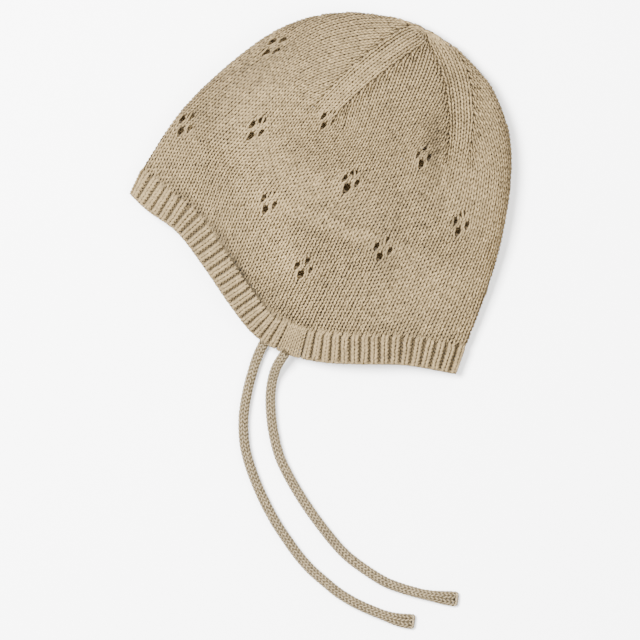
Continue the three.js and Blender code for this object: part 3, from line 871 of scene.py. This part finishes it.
# The crown's pieces with their first course and the one after their last.
CROWN_PARTS = (("crown_flaps", -12, 14), ("crown_sides", 14, 30), ("crown_top", 30, 46),
               ("crown_gores", 46, COURSES))


def crown_meshes(sizes):
    """The crown's meshes by name, from the lowest course to the apex."""
    rng = np.random.default_rng(11)
    for name, first, last in CROWN_PARTS:
        yarns = Yarns()
        for course in range(first, last):
            crown_course(yarns, course, rng, sizes)
        yield name, yarns.mesh(name)


# The bands: a ring of one-and-one rib. A place along a band is counted in ribs, with a purl wale
# at each whole number and a knit wale half way between.
BAND_ROWS = 7
BAND_YARN = 0.84
TAB_YARN = 0.56
RIB_SINK = 1.7
RIB_WARP = 0.52
RIB_LEAN = 1.3
BAND_RISE = 0.085  # The band's width as a share of the crown's height.
EDGE_STEPS = np.hypot(np.diff(BRIM["x"]) * CAP_DEPTH, np.diff(BRIM["y"]) * CAP_HEIGHT)
EDGE_LENGTH = float(EDGE_STEPS.sum())
HALF_TAB = TAB_WIDTH / 2 / EDGE_LENGTH
HALF_GAP = PIECE_GAP / 2 / EDGE_LENGTH
NEAR_TAB = (NEAR_EAR - HALF_TAB, NEAR_EAR + HALF_TAB)
FAR_TAB = (2 - FAR_EAR - HALF_TAB, 2 - FAR_EAR + HALF_TAB)


# The ribs, in rows and millimetres: where the first row lies and the room past the last one, how
# far from the knitted edge every row stays, how far a loop lies in and out, how far the knit wales
# lie under the outer face, how much thinner the yarn is in a groove, and how much taller and deeper
# the last row is.
ROW_START = 0.95
ROW_ROOM = 0.6
EDGE_INSET = 0.5
RIB_LOOP = 0.5
RIB_INSET = 0.45
GROOVE_POWER = 1.4
GROOVE_THIN = 0.22
LAST_ROW_TALL = 1.5
LAST_ROW_SINK = 0.5
RIB_STRAY = {"wale": 0.03, "row": 0.05, "tone": 0.02}
# Where the front band's last row is painted darkest, as painted shade along the seam: middle and
# width as turns, and how much darker it is painted.
SEAM_SHADE_TURN = (0.36, 0.15)
SEAM_SHADE_DEPTH = 0.36
EDGE_YARN = 0.48
TAB_STITCHES = 5
TAB_ROWS = 7


def band_level(share):
    """The level of a place at a share of a band's width. It stays clear of the knitted edge, and
    past the seam it is counted in the band's own width."""
    level = np.maximum(share - 1, -1 + EDGE_INSET / BAND_WIDTH)
    return np.where(level > 0, level * BAND_RISE, level)


def band_line(start, end, places, level, depth):
    """Points of a band: places run from 0 to 1 along it, depth is under the outer face."""
    point, normal = cap.rim(lerp(start, end, places), level)
    return point - normal * depth[..., None], normal


def rib_band(yarns, start, end, rng, sizes):
    """A band's courses: each is one yarn through knit and purl loops in turn. Purl loops lie
    deeper by the ribs' depth and are bent the other way, and the knit wales take up most of the
    width: a place s along the band, in ribs, is moved by -RIB_WARP sin(2 pi s) / 2 pi."""
    ribs = max(round((end - start) * EDGE_LENGTH * MM / sizes.rib_width), 1)
    across, up, out = loop_line(LOOP_STEPS, RIB_LEAN)
    stitches = np.arange(2 * ribs + 1)[:, None]
    knit = np.where(stitches % 2 == 1, 1.0, -1.0)
    for row in range(-1, BAND_ROWS + 1):
        last = row == BAND_ROWS
        s = stitches + across + rng.normal(0, RIB_STRAY["wale"], stitches.shape)
        share = np.clip(s / 2, 0, ribs)
        warp = (share - RIB_WARP / TAU * np.sin(TAU * share)) / ribs
        groove = 0.5 + 0.5 * np.cos(TAU * share)
        middle = row + ROW_START + rng.normal(0, RIB_STRAY["row"], stitches.shape)
        height = up * (LAST_ROW_TALL if last else 1)
        level = band_level((middle + height) / (BAND_ROWS + ROW_ROOM))
        bend = knit * out * RIB_LOOP
        depth = BAND_WALL / 2 - RIB_INSET + sizes.rib_depth / MM * groove**GROOVE_POWER - bend
        # Painted shade: the whole band a little darker and the purl grooves much darker, plus a random tone of each
        # stitch.
        tone = -0.045 - 0.2 * groove**2 + rng.normal(0, RIB_STRAY["tone"], stitches.shape)
        if last:
            middle_turn, span = SEAM_SHADE_TURN
            depth = depth + LAST_ROW_SINK
            # Painted shade on the last row, deepest at the middle turn.
            tone = tone - SEAM_SHADE_DEPTH * bell((lerp(start, end, warp) - middle_turn) / span)
        # Purl loops get little lift, so their grooves are painted dark as shade.
        lift = np.where(knit > 0, bend + 0.25, 0.1)
        radius = sizes.band_yarn / MM - GROOVE_THIN * groove
        line, normal = band_line(start, end, warp, level, depth)
        yarns.add(line.reshape(-1, 3), normal.reshape(-1, 3), radius.ravel(), lift.ravel(),
                  tone=tone.ravel())
    edge_strand(yarns, start, end, 2 * ribs, BAND_WALL / 2 + 0.3)


def edge_strand(yarns, start, end, turns, depth):
    """The bound-off edge: two strands that wind round each other once a stitch along the edge."""
    places = np.linspace(0, 1, turns * 8 + 1)
    angle = TAU * places * turns
    for lag in (0, math.pi):
        level = -1 + (0.45 + 0.4 * np.cos(angle + lag)) / BAND_WIDTH
        below = depth + 0.5 * np.sin(angle + lag)
        line, normal = band_line(start, end, places, level, below)
        yarns.add(line, normal, EDGE_YARN, 0.35)


def plain_tab(yarns, start, end, rng, sizes):
    """The plain patch over an ear where a tie leaves: small flat stitches. Across it the cloth
    bulges by the root of a sine."""
    across, up, out = loop_line(LOOP_STEPS)
    stitches = np.arange(TAB_STITCHES)[:, None]
    share = np.clip((stitches + 0.5 + across) / TAB_STITCHES, 0, 1)
    bulge = np.sin(np.pi * share) ** 0.5
    lift = np.broadcast_to(0.45 * out, share.shape)
    depth = TAB_WALL / 2 + 0.4 - 0.6 * bulge - lift
    for row in range(-1, TAB_ROWS + 1):
        place = row + 0.65 + up + rng.normal(0, RIB_STRAY["row"], stitches.shape)
        level = band_level(place / (TAB_ROWS + 0.3))
        line, normal = band_line(start, end, share, level, depth)
        yarns.add(line.reshape(-1, 3), normal.reshape(-1, 3), sizes.tab_yarn / MM,
                  lift.reshape(-1) + 0.12)
    edge_strand(yarns, start, end, TAB_STITCHES, TAB_WALL / 2)


# Routes of the ties on the surface, as places of the cord's middle line in metres.
NEAR_ROUTE = (
    (-0.0172, -0.0761, 0.0094), (-0.0202, -0.0808, 0.0070), (-0.0223, -0.0865, 0.0040),
    (-0.0235, -0.0949, 0.0027), (-0.0233, -0.1034, 0.0027), (-0.0221, -0.1128, 0.0027),
    (-0.0195, -0.1231, 0.0027), (-0.0157, -0.1316, 0.0027), (-0.0092, -0.1429, 0.0027),
    (-0.0014, -0.1542, 0.0027), (0.0075, -0.1654, 0.0027), (0.0132, -0.1711, 0.0027),
    (0.0207, -0.1767, 0.0027), (0.0298, -0.1824, 0.0027), (0.0374, -0.1854, 0.0027),
    (0.0472, -0.1882, 0.0027), (0.0562, -0.1899, 0.0027), (0.0642, -0.1908, 0.0027),
)
FAR_ROUTE = (
    (-0.0259, -0.0691, 0.0027), (-0.0289, -0.0752, 0.0027), (-0.0310, -0.0809, 0.0027),
    (-0.0341, -0.0921, 0.0027), (-0.0360, -0.1034, 0.0027), (-0.0362, -0.1114, 0.0027),
    (-0.0353, -0.1203, 0.0027), (-0.0320, -0.1316, 0.0027), (-0.0273, -0.1429, 0.0027),
    (-0.0214, -0.1542, 0.0027), (-0.0139, -0.1655, 0.0027), (-0.0097, -0.1711, 0.0027),
    (-0.0047, -0.1767, 0.0027), (0.0012, -0.1819, 0.0027), (0.0087, -0.1880, 0.0027),
    (0.0176, -0.1932, 0.0027), (0.0294, -0.1982, 0.0027), (0.0369, -0.2005, 0.0027),
    (0.0439, -0.2014, 0.0027),
)


# The ties: knitted cords of six wales, worked in a spiral that begins inside the bonnet. The middle
# of their loops lies TIE_INSET below the cord's face less the yarn. Towards the free end, over
# END_LENGTH, the round section turns into a flat one with the half axes END_WIDE and END_HIGH.
TIE_WALES = 6
TIE_COURSE = 1.92
TIE_YARN = 0.44
TIE_INSET = 0.5
TIE_LOOP = 0.36
TIE_STEPS = 10
TIE_LEAN = 1.8
TIE_REACH = 0.9
TIE_BEGIN = -1.2
TIE_STRAY = {"wale": 0.04, "place": 0.05}
PATH_STEP = 0.25
END_LENGTH = 17.0
END_WIDE = 2.95
END_HIGH = 0.75
CLOSING_YARN = 0.52
CLOSING_WIDE = 3.15
CLOSING_RISES = (-0.62, 0, 0.62)


def tie_path(route):
    """A smooth line through a route, in millimetres, with its points PATH_STEP apart."""
    p = np.array(route) / MM
    chord = np.concatenate([[0], np.cumsum(np.linalg.norm(np.diff(p, axis=0), axis=1))])
    fine = np.linspace(0, chord[-1], 2000)
    rows = {"at": chord, "x": p[:, 0], "y": p[:, 1], "z": p[:, 2]}
    line = np.stack([smooth_row(rows, fine, k) for k in "xyz"], -1)
    length = np.concatenate([[0], np.cumsum(np.linalg.norm(np.diff(line, axis=0), axis=1))])
    even = np.arange(0, length[-1], PATH_STEP)
    return np.stack([np.interp(even, length, line[:, k]) for k in range(3)], -1), length[-1]


def knitted_tie(yarns, route, rng, sizes):
    """One cord. A stitch takes a step of a sixth round the section and a sixth of a course
    along it; its loop bends as in the crown. The section is an ellipse, round at first and ever
    wider and flatter towards the free end, where strands close it."""
    path, total = tie_path(route)
    along = unit(np.gradient(path, axis=0))
    side = unit(np.cross(along, [0, 0, 1.0]))
    top = np.cross(side, along)
    count = int((total - TIE_BEGIN - 0.6) / TIE_COURSE * TIE_WALES)
    across, up, out = loop_line(TIE_STEPS, TIE_LEAN, TIE_REACH)
    n = np.arange(count)[:, None]
    wales = n + across + rng.normal(0, TIE_STRAY["wale"], n.shape)
    place = TIE_BEGIN + (n + across) / TIE_WALES * TIE_COURSE + up * TIE_COURSE
    place = place + rng.normal(0, TIE_STRAY["place"], n.shape)
    place = np.minimum(place, total - 0.3).ravel()[:, None]
    angle = (wales / TIE_WALES * TAU + 0.4).ravel()[:, None]
    loop = np.broadcast_to(out, wales.shape).ravel()[:, None]
    flat = np.clip((place - total + END_LENGTH) / END_LENGTH, 0, 1)
    flat = flat * flat * (3 - 2 * flat)
    thick = sizes.tie_yarn / MM
    middle = TIE_DIAMETER / 2 - thick - TIE_INSET
    wide = lerp(middle, END_WIDE, flat) + loop * TIE_LOOP
    high = lerp(middle, END_HIGH, flat) + loop * TIE_LOOP * (1 - 0.5 * flat)
    steps = np.clip(place[:, 0] / PATH_STEP, 0, len(path) - 1)

    def at(values):
        rows = np.arange(len(values))
        return np.stack([np.interp(steps, rows, values[:, k]) for k in range(3)], -1)

    base = at(path) + at(along) * np.minimum(place, 0)
    base[:, 2:] += lerp(middle, END_HIGH, flat) - middle
    right, above = at(side) * np.cos(angle), at(top) * np.sin(angle)
    yarns.add(base + right * wide + above * high, unit(right / wide + above / high), thick,
              loop[:, 0] * 0.5)
    close_end(yarns, path[-1] + (0, 0, END_HIGH - middle), side[-1], along[-1], top[-1])
    return total


def close_end(yarns, middle, side, along, top):
    """Strands over the edge of the free end, side by side from top to bottom. Each runs across it
    from k = -1 to 1 with a small wave, drawn back by k^6 and bowed by the root of 1 - k^2."""
    k = np.linspace(-1, 1, 41)[:, None]
    for rise in CLOSING_RISES:
        ahead = 0.05 - 0.5 * abs(rise) + 0.1 * np.cos(k * 17 + rise) - 0.8 * k**6
        bow = rise * np.sqrt(np.maximum(1 - k * k, 0))
        line = middle + side * k * CLOSING_WIDE + along * ahead + bow * (0, 0, 1)
        yarns.add(line, np.broadcast_to(top, line.shape), CLOSING_YARN, 0.45)


class Socket:
    """A shader value with arithmetic: each operation adds one maths node."""

    def __init__(self, tree, socket=None):
        self.tree, self.socket = tree, socket

    def node(self, kind, inputs, output=0, **settings):
        """A new node with its settings, then the values or links of its sockets."""
        made = self.tree.nodes.new(kind)
        for key, value in settings.items():
            setattr(made, key, value)
        for key, value in inputs.items():
            if isinstance(value, Socket):
                self.tree.links.new(value.socket, made.inputs[key])
            else:
                made.inputs[key].default_value = value
        return Socket(self.tree, made.outputs[output])

    def other(self, output):
        """Another output of the node that this value comes from."""
        return Socket(self.tree, self.socket.node.outputs[output])

    def feed(self, shader, key):
        self.tree.links.new(self.socket, shader.inputs[key])

    def blend(self, share, low, high, kind="MIX"):
        """Colours mixed by a share: the sockets 0, 6 and 7 of a colour mix, out of socket 2."""
        return self.node("ShaderNodeMix", {0: share, 6: low, 7: high}, 2, data_type="RGBA",
                         blend_type=kind)

    def maths(self, operation, *values):
        return self.node("ShaderNodeMath", dict(enumerate(values)), operation=operation)

    def __add__(self, other):
        return self.maths("ADD", self, other)

    def __radd__(self, other):
        return self.maths("ADD", other, self)

    def __sub__(self, other):
        return self.maths("SUBTRACT", self, other)

    def __rsub__(self, other):
        return self.maths("SUBTRACT", other, self)

    def __mul__(self, other):
        return self.maths("MULTIPLY", self, other)

    def __rmul__(self, other):
        return self.maths("MULTIPLY", other, self)

    def sin(self):
        return self.maths("SINE", self)


# The yarn's finish: scales of the clouds and fibres of its heather, the lightest and darkest fibre
# as shares of its colour, the gain of the tone, which carries painted light and shade, the tint of the
# painted shade in the gaps between strands, the share of its colour that it gives off as a painted
# glow, and the twist of its three plies in turns for each millimetre.
CLOUD_SCALE = 45.0
FIBRE_SCALE = 900.0
LIGHT_FIBRE = 1.42
DARK_FIBRE = 0.64
TONE_GAIN = 2.2
# Painted shade: the colour that the yarn is darkened towards between its strands, where shade would fall.
PAINTED_GAP_SHADE = (0.25, 0.23, 0.185, 1)
PAINTED_GLOW = (0.24, 0.205, 0.16, 1)
WHITE = (1, 1, 1, 1)
PLIES = 3
PLY_TWIST = 0.55
YARN_SHADER = {"Roughness": 0.92, "Specular IOR Level": 0.08, "Sheen Weight": 0.03,
               "Sheen Roughness": 0.6, "Emission Strength": 1.0}


def yarn_material(name, colour, low=0.2, high=1.05):
    """Heathered cotton yarn: fibres of three tones, with plies that wind round each strand. Shade
    between the strands is painted: the yarn gets darker where the lift falls from high to low. The tone
    attribute makes it lighter or darker, as random stitch tone and as painted light and shade. It also
    glows with a share of its own colour, a painted fill light."""
    material = bpy.data.materials.new(name)
    material.use_nodes = True
    tree = material.node_tree
    shader = tree.nodes["Principled BSDF"]
    for key, value in YARN_SHADER.items():
        shader.inputs[key].default_value = value
    start = Socket(tree)
    place = start.node("ShaderNodeTexCoord", {}, "Object")
    noise = "ShaderNodeTexNoise"
    clouds = start.node(noise, {"Vector": place, "Scale": CLOUD_SCALE, "Detail": 3.0})
    fibres = start.node(noise, {"Vector": place, "Scale": FIBRE_SCALE, "Detail": 2.0})
    heather = 0.5 + (clouds - 0.5) * 0.5 + (fibres - 0.5) * 1.6
    light = [min(c * LIGHT_FIBRE, 1) for c in colour[:3]] + [1]
    dark = [c * DARK_FIBRE for c in colour[:3]] + [1]
    # Painted shade between strands: the yarn is darkened towards the gap tint where the lift is low.
    lift = start.node("ShaderNodeAttribute", {}, "Fac", attribute_name="Lift")
    gap_unshaded = start.node("ShaderNodeMapRange", {"Value": lift, "From Min": low, "From Max": high},
                       interpolation_type="SMOOTHSTEP")
    base = start.blend(1.0, start.blend(heather, dark, light),
                       start.blend(gap_unshaded, PAINTED_GAP_SHADE, WHITE), "MULTIPLY")
    tone = start.node("ShaderNodeAttribute", {}, "Fac", attribute_name="ToneAndPaintedShading")
    base = start.node("ShaderNodeVectorMath", {0: base, "Scale": tone * TONE_GAIN + 1},
                      operation="SCALE")
    base.feed(shader, "Base Color")
    # Painted light: the yarn glows with a share of its own colour, which lifts its shade.
    start.blend(1.0, base, PAINTED_GLOW, "MULTIPLY").feed(shader, "Emission Color")
    strand = start.node("ShaderNodeUVMap", {}, "UV", uv_map="Strand")
    along = start.node("ShaderNodeSeparateXYZ", {0: strand}, "X")
    plies = (along * (TAU * PLY_TWIST) + along.other("Y") * (TAU * PLIES)).sin()
    height = plies * 0.5 + fibres * 0.8
    bump = start.node("ShaderNodeBump", {"Height": height, "Strength": 0.5, "Distance": 0.0004})
    bump.feed(shader, "Normal")
    return material


YARN_COLOUR = (0.155, 0.112, 0.056, 1)
TIE_COLOUR = (0.196, 0.155, 0.093, 1)
# The ties' painted shade between strands: full at the first lift value, none at the second.
TIE_GAP_SHADE_LIFTS = (0.45, 0.93)  # The lifts between which the ties' yarn gets lighter.
FLOOR_SIZE = 6.0
FLOOR_LEVEL = -0.0003  # Just under the surface, so that the two don't flicker.
AIM = (0, -0.05, 0)
LAMPS = (("key", (-0.5, 0.22, 1.2), 0.5, 125.0), ("fill", (0.5, -0.3, 1.2), 0.8, 25.0))
SKY = 1.33


class BonnetColours(bpy.types.PropertyGroup):
    """Colours of the yarn."""
    yarn: bpy.props.FloatVectorProperty(
        name="Yarn", description="Colour of the cotton yarn", subtype="COLOR", size=4,
        min=0, max=1, default=YARN_COLOUR)
    tie: bpy.props.FloatVectorProperty(
        name="Tie yarn", description="Colour of the ties' yarn, a little paler", subtype="COLOR",
        size=4, min=0, max=1, default=TIE_COLOUR)


class BonnetSizes(bpy.types.PropertyGroup):
    """Sizes of the yarns and of what is knitted with them."""
    crown_yarn: bpy.props.FloatProperty(
        name="Crown yarn", description="Radius of the crown's yarn", default=YARN_RADIUS * MM,
        min=0.0002, max=0.0009, precision=5, subtype="DISTANCE", unit="LENGTH")
    loop_depth: bpy.props.FloatProperty(
        name="Loop depth", description="How far a crown loop lies out from the cloth's middle",
        default=LOOP_DEPTH * MM, min=0.0, max=0.001, precision=5, subtype="DISTANCE", unit="LENGTH")
    eyelets: bpy.props.FloatProperty(
        name="Eyelets", description="How wide the eyelets of the flowers are, 1 as worked",
        default=1.0, min=0.1, max=1.3, subtype="FACTOR")
    band_yarn: bpy.props.FloatProperty(
        name="Band yarn", description="Radius of the ribs' yarn", default=BAND_YARN * MM,
        min=0.0004, max=0.0012, precision=5, subtype="DISTANCE", unit="LENGTH")
    rib_width: bpy.props.FloatProperty(
        name="Rib width", description="Width of a knit and a purl wale together",
        default=RIB_PITCH * MM, min=0.003, max=0.009, precision=5, subtype="DISTANCE",
        unit="LENGTH")
    rib_depth: bpy.props.FloatProperty(
        name="Rib depth", description="How far the purl wales lie below the knit ones",
        default=RIB_SINK * MM, min=0.0, max=0.0022, precision=5, subtype="DISTANCE", unit="LENGTH")
    tab_yarn: bpy.props.FloatProperty(
        name="Tab yarn", description="Radius of the yarn of the tabs over the ears",
        default=TAB_YARN * MM, min=0.0003, max=0.0008, precision=5, subtype="DISTANCE",
        unit="LENGTH")
    tie_yarn: bpy.props.FloatProperty(
        name="Tie yarn", description="Radius of the ties' yarn", default=TIE_YARN * MM,
        min=0.0002, max=0.0006, precision=5, subtype="DISTANCE", unit="LENGTH")


class BONNET_OT_stage(bpy.types.Operator):
    """Sets the camera straight above, the soft studio lights and the pale floor"""
    bl_idname = "bonnet.stage"
    bl_label = "Stage"

    def execute(self, context):
        scene = context.scene
        data = bpy.data.cameras.new("camera")
        data.lens, data.sensor_width = CAMERA_LENS, CAMERA_SENSOR
        camera = bpy.data.objects.new("camera", data)
        camera.location = (CAMERA_X * MM, CAMERA_Y * MM, CAMERA_HEIGHT * MM)
        scene.collection.objects.link(camera)
        scene.camera = camera
        world = bpy.data.worlds.new("studio")
        world.use_nodes = True
        sky = world.node_tree.nodes["Background"]
        sky.inputs["Color"].default_value = WHITE
        sky.inputs["Strength"].default_value = SKY
        scene.world = world
        for name, place, size, power in LAMPS:
            lamp = bpy.data.lights.new(name, "AREA")
            lamp.size, lamp.energy = size, power
            lit = bpy.data.objects.new(name, lamp)
            lit.location = place
            aim = np.array(AIM) - np.array(place)
            lit.rotation_euler = (math.atan2(math.hypot(aim[0], aim[1]), -aim[2]), 0,
                                  math.atan2(aim[1], aim[0]) - math.pi / 2)
            scene.collection.objects.link(lit)
        square = np.array([(-1, -1, 0), (1, -1, 0), (1, 1, 0), (-1, 1, 0)]) * FLOOR_SIZE
        mesh = solid_mesh("floor", square + (0, 0, FLOOR_LEVEL), np.array([[0, 1, 2, 3]]))
        floor = bpy.data.objects.new("floor", mesh)
        paint = bpy.data.materials.new("floor_white")
        paint.use_nodes = True
        shader = paint.node_tree.nodes["Principled BSDF"]
        shader.inputs["Base Color"].default_value = (0.93, 0.93, 0.93, 1)
        shader.inputs["Roughness"].default_value = 0.9
        floor.data.materials.append(paint)
        scene.collection.objects.link(floor)
        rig.stage(floor)
        return {"FINISHED"}


class BONNET_OT_crown(bpy.types.Operator):
    """Knits the crown from the seam to the apex, with its gores and openwork flowers"""
    bl_idname = "bonnet.crown"
    bl_label = "Crown"

    def execute(self, context):
        material = yarn_material("yarn", context.scene.bonnet_colours.yarn)
        for name, mesh in crown_meshes(context.scene.bonnet_sizes):
            piece(name, mesh, material, ["crown"], "stockinette")
        return {"FINISHED"}


class BONNET_OT_edges(bpy.types.Operator):
    """Knits the two ribbed bands and the plain tabs over the ears"""
    bl_idname = "bonnet.edges"
    bl_label = "Bands and ear tabs"

    def execute(self, context):
        material = yarn_material("yarn_edges", context.scene.bonnet_colours.yarn)
        rng = np.random.default_rng(23)
        bands = (
            ("front_band", rib_band, FAR_TAB[1] - 2 + HALF_GAP, NEAR_TAB[0] - HALF_GAP, "rib"),
            ("neck_band", rib_band, NEAR_TAB[1] + HALF_GAP, FAR_TAB[0] - HALF_GAP, "rib"),
            ("ear_tab_near", plain_tab, NEAR_TAB[0] + HALF_GAP, NEAR_TAB[1] - HALF_GAP, "tab"),
            ("ear_tab_far", plain_tab, FAR_TAB[0] + HALF_GAP, FAR_TAB[1] - HALF_GAP, "tab"),
        )
        for name, knit, start, end, slot in bands:
            yarns = Yarns()
            knit(yarns, start, end, rng, context.scene.bonnet_sizes)
            piece("knitted_" + name, yarns.mesh(name), material, [name], slot)
        return {"FINISHED"}


class BONNET_OT_ties(bpy.types.Operator):
    """Knits the two chin ties along their routes"""
    bl_idname = "bonnet.ties"
    bl_label = "Chin ties"

    def execute(self, context):
        colour = context.scene.bonnet_colours.tie
        material = yarn_material("yarn_ties", colour, *TIE_GAP_SHADE_LIFTS)
        rng = np.random.default_rng(31)
        for name, route in (("tie_near", NEAR_ROUTE), ("tie_far", FAR_ROUTE)):
            yarns = Yarns()
            length = knitted_tie(yarns, route, rng, context.scene.bonnet_sizes)
            made = piece("knitted_" + name, yarns.mesh(name), material, [name], "tie")
            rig.cord(made, route[0], length * MM, TIE_DIAMETER * MM, "bare", "limp", "loose",
                    path=route)
        return {"FINISHED"}


STEPS = (BONNET_OT_stage, BONNET_OT_ties, BONNET_OT_crown, BONNET_OT_edges)


class BONNET_PT_sidebar(bpy.types.Panel):
    """Lists the bonnet's sizes and colours, and the steps that knit it"""
    bl_idname = "BONNET_PT_sidebar"
    bl_label = "Knitted bonnet"
    bl_space_type = "VIEW_3D"
    bl_region_type = "UI"
    bl_category = "Bonnet"

    def draw(self, context):
        layout = self.layout
        layout.use_property_split = True
        for group in (context.scene.bonnet_sizes, context.scene.bonnet_colours):
            for key in type(group).__annotations__:
                layout.prop(group, key)
        for step in STEPS:
            layout.operator(step.bl_idname)


CLASSES = (BonnetSizes, BonnetColours, *STEPS, BONNET_PT_sidebar)


def register():
    for made in CLASSES:
        bpy.utils.register_class(made)
    bpy.types.Scene.bonnet_sizes = bpy.props.PointerProperty(type=BonnetSizes)
    bpy.types.Scene.bonnet_colours = bpy.props.PointerProperty(type=BonnetColours)


def unregister():
    del bpy.types.Scene.bonnet_sizes, bpy.types.Scene.bonnet_colours
    for made in reversed(CLASSES):
        bpy.utils.unregister_class(made)


def main():
    register()
    for step in (bpy.ops.bonnet.stage, bpy.ops.bonnet.ties, bpy.ops.bonnet.crown,
                 bpy.ops.bonnet.edges):
        step()
    boxes = [[[float(x) for x in corner] for corner in box] for box in (CAD_BOX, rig.bounds())]
    with open("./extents.json", "w", encoding="utf-8") as out:
        json.dump(boxes, out)


if __name__ == "__main__":
    main()
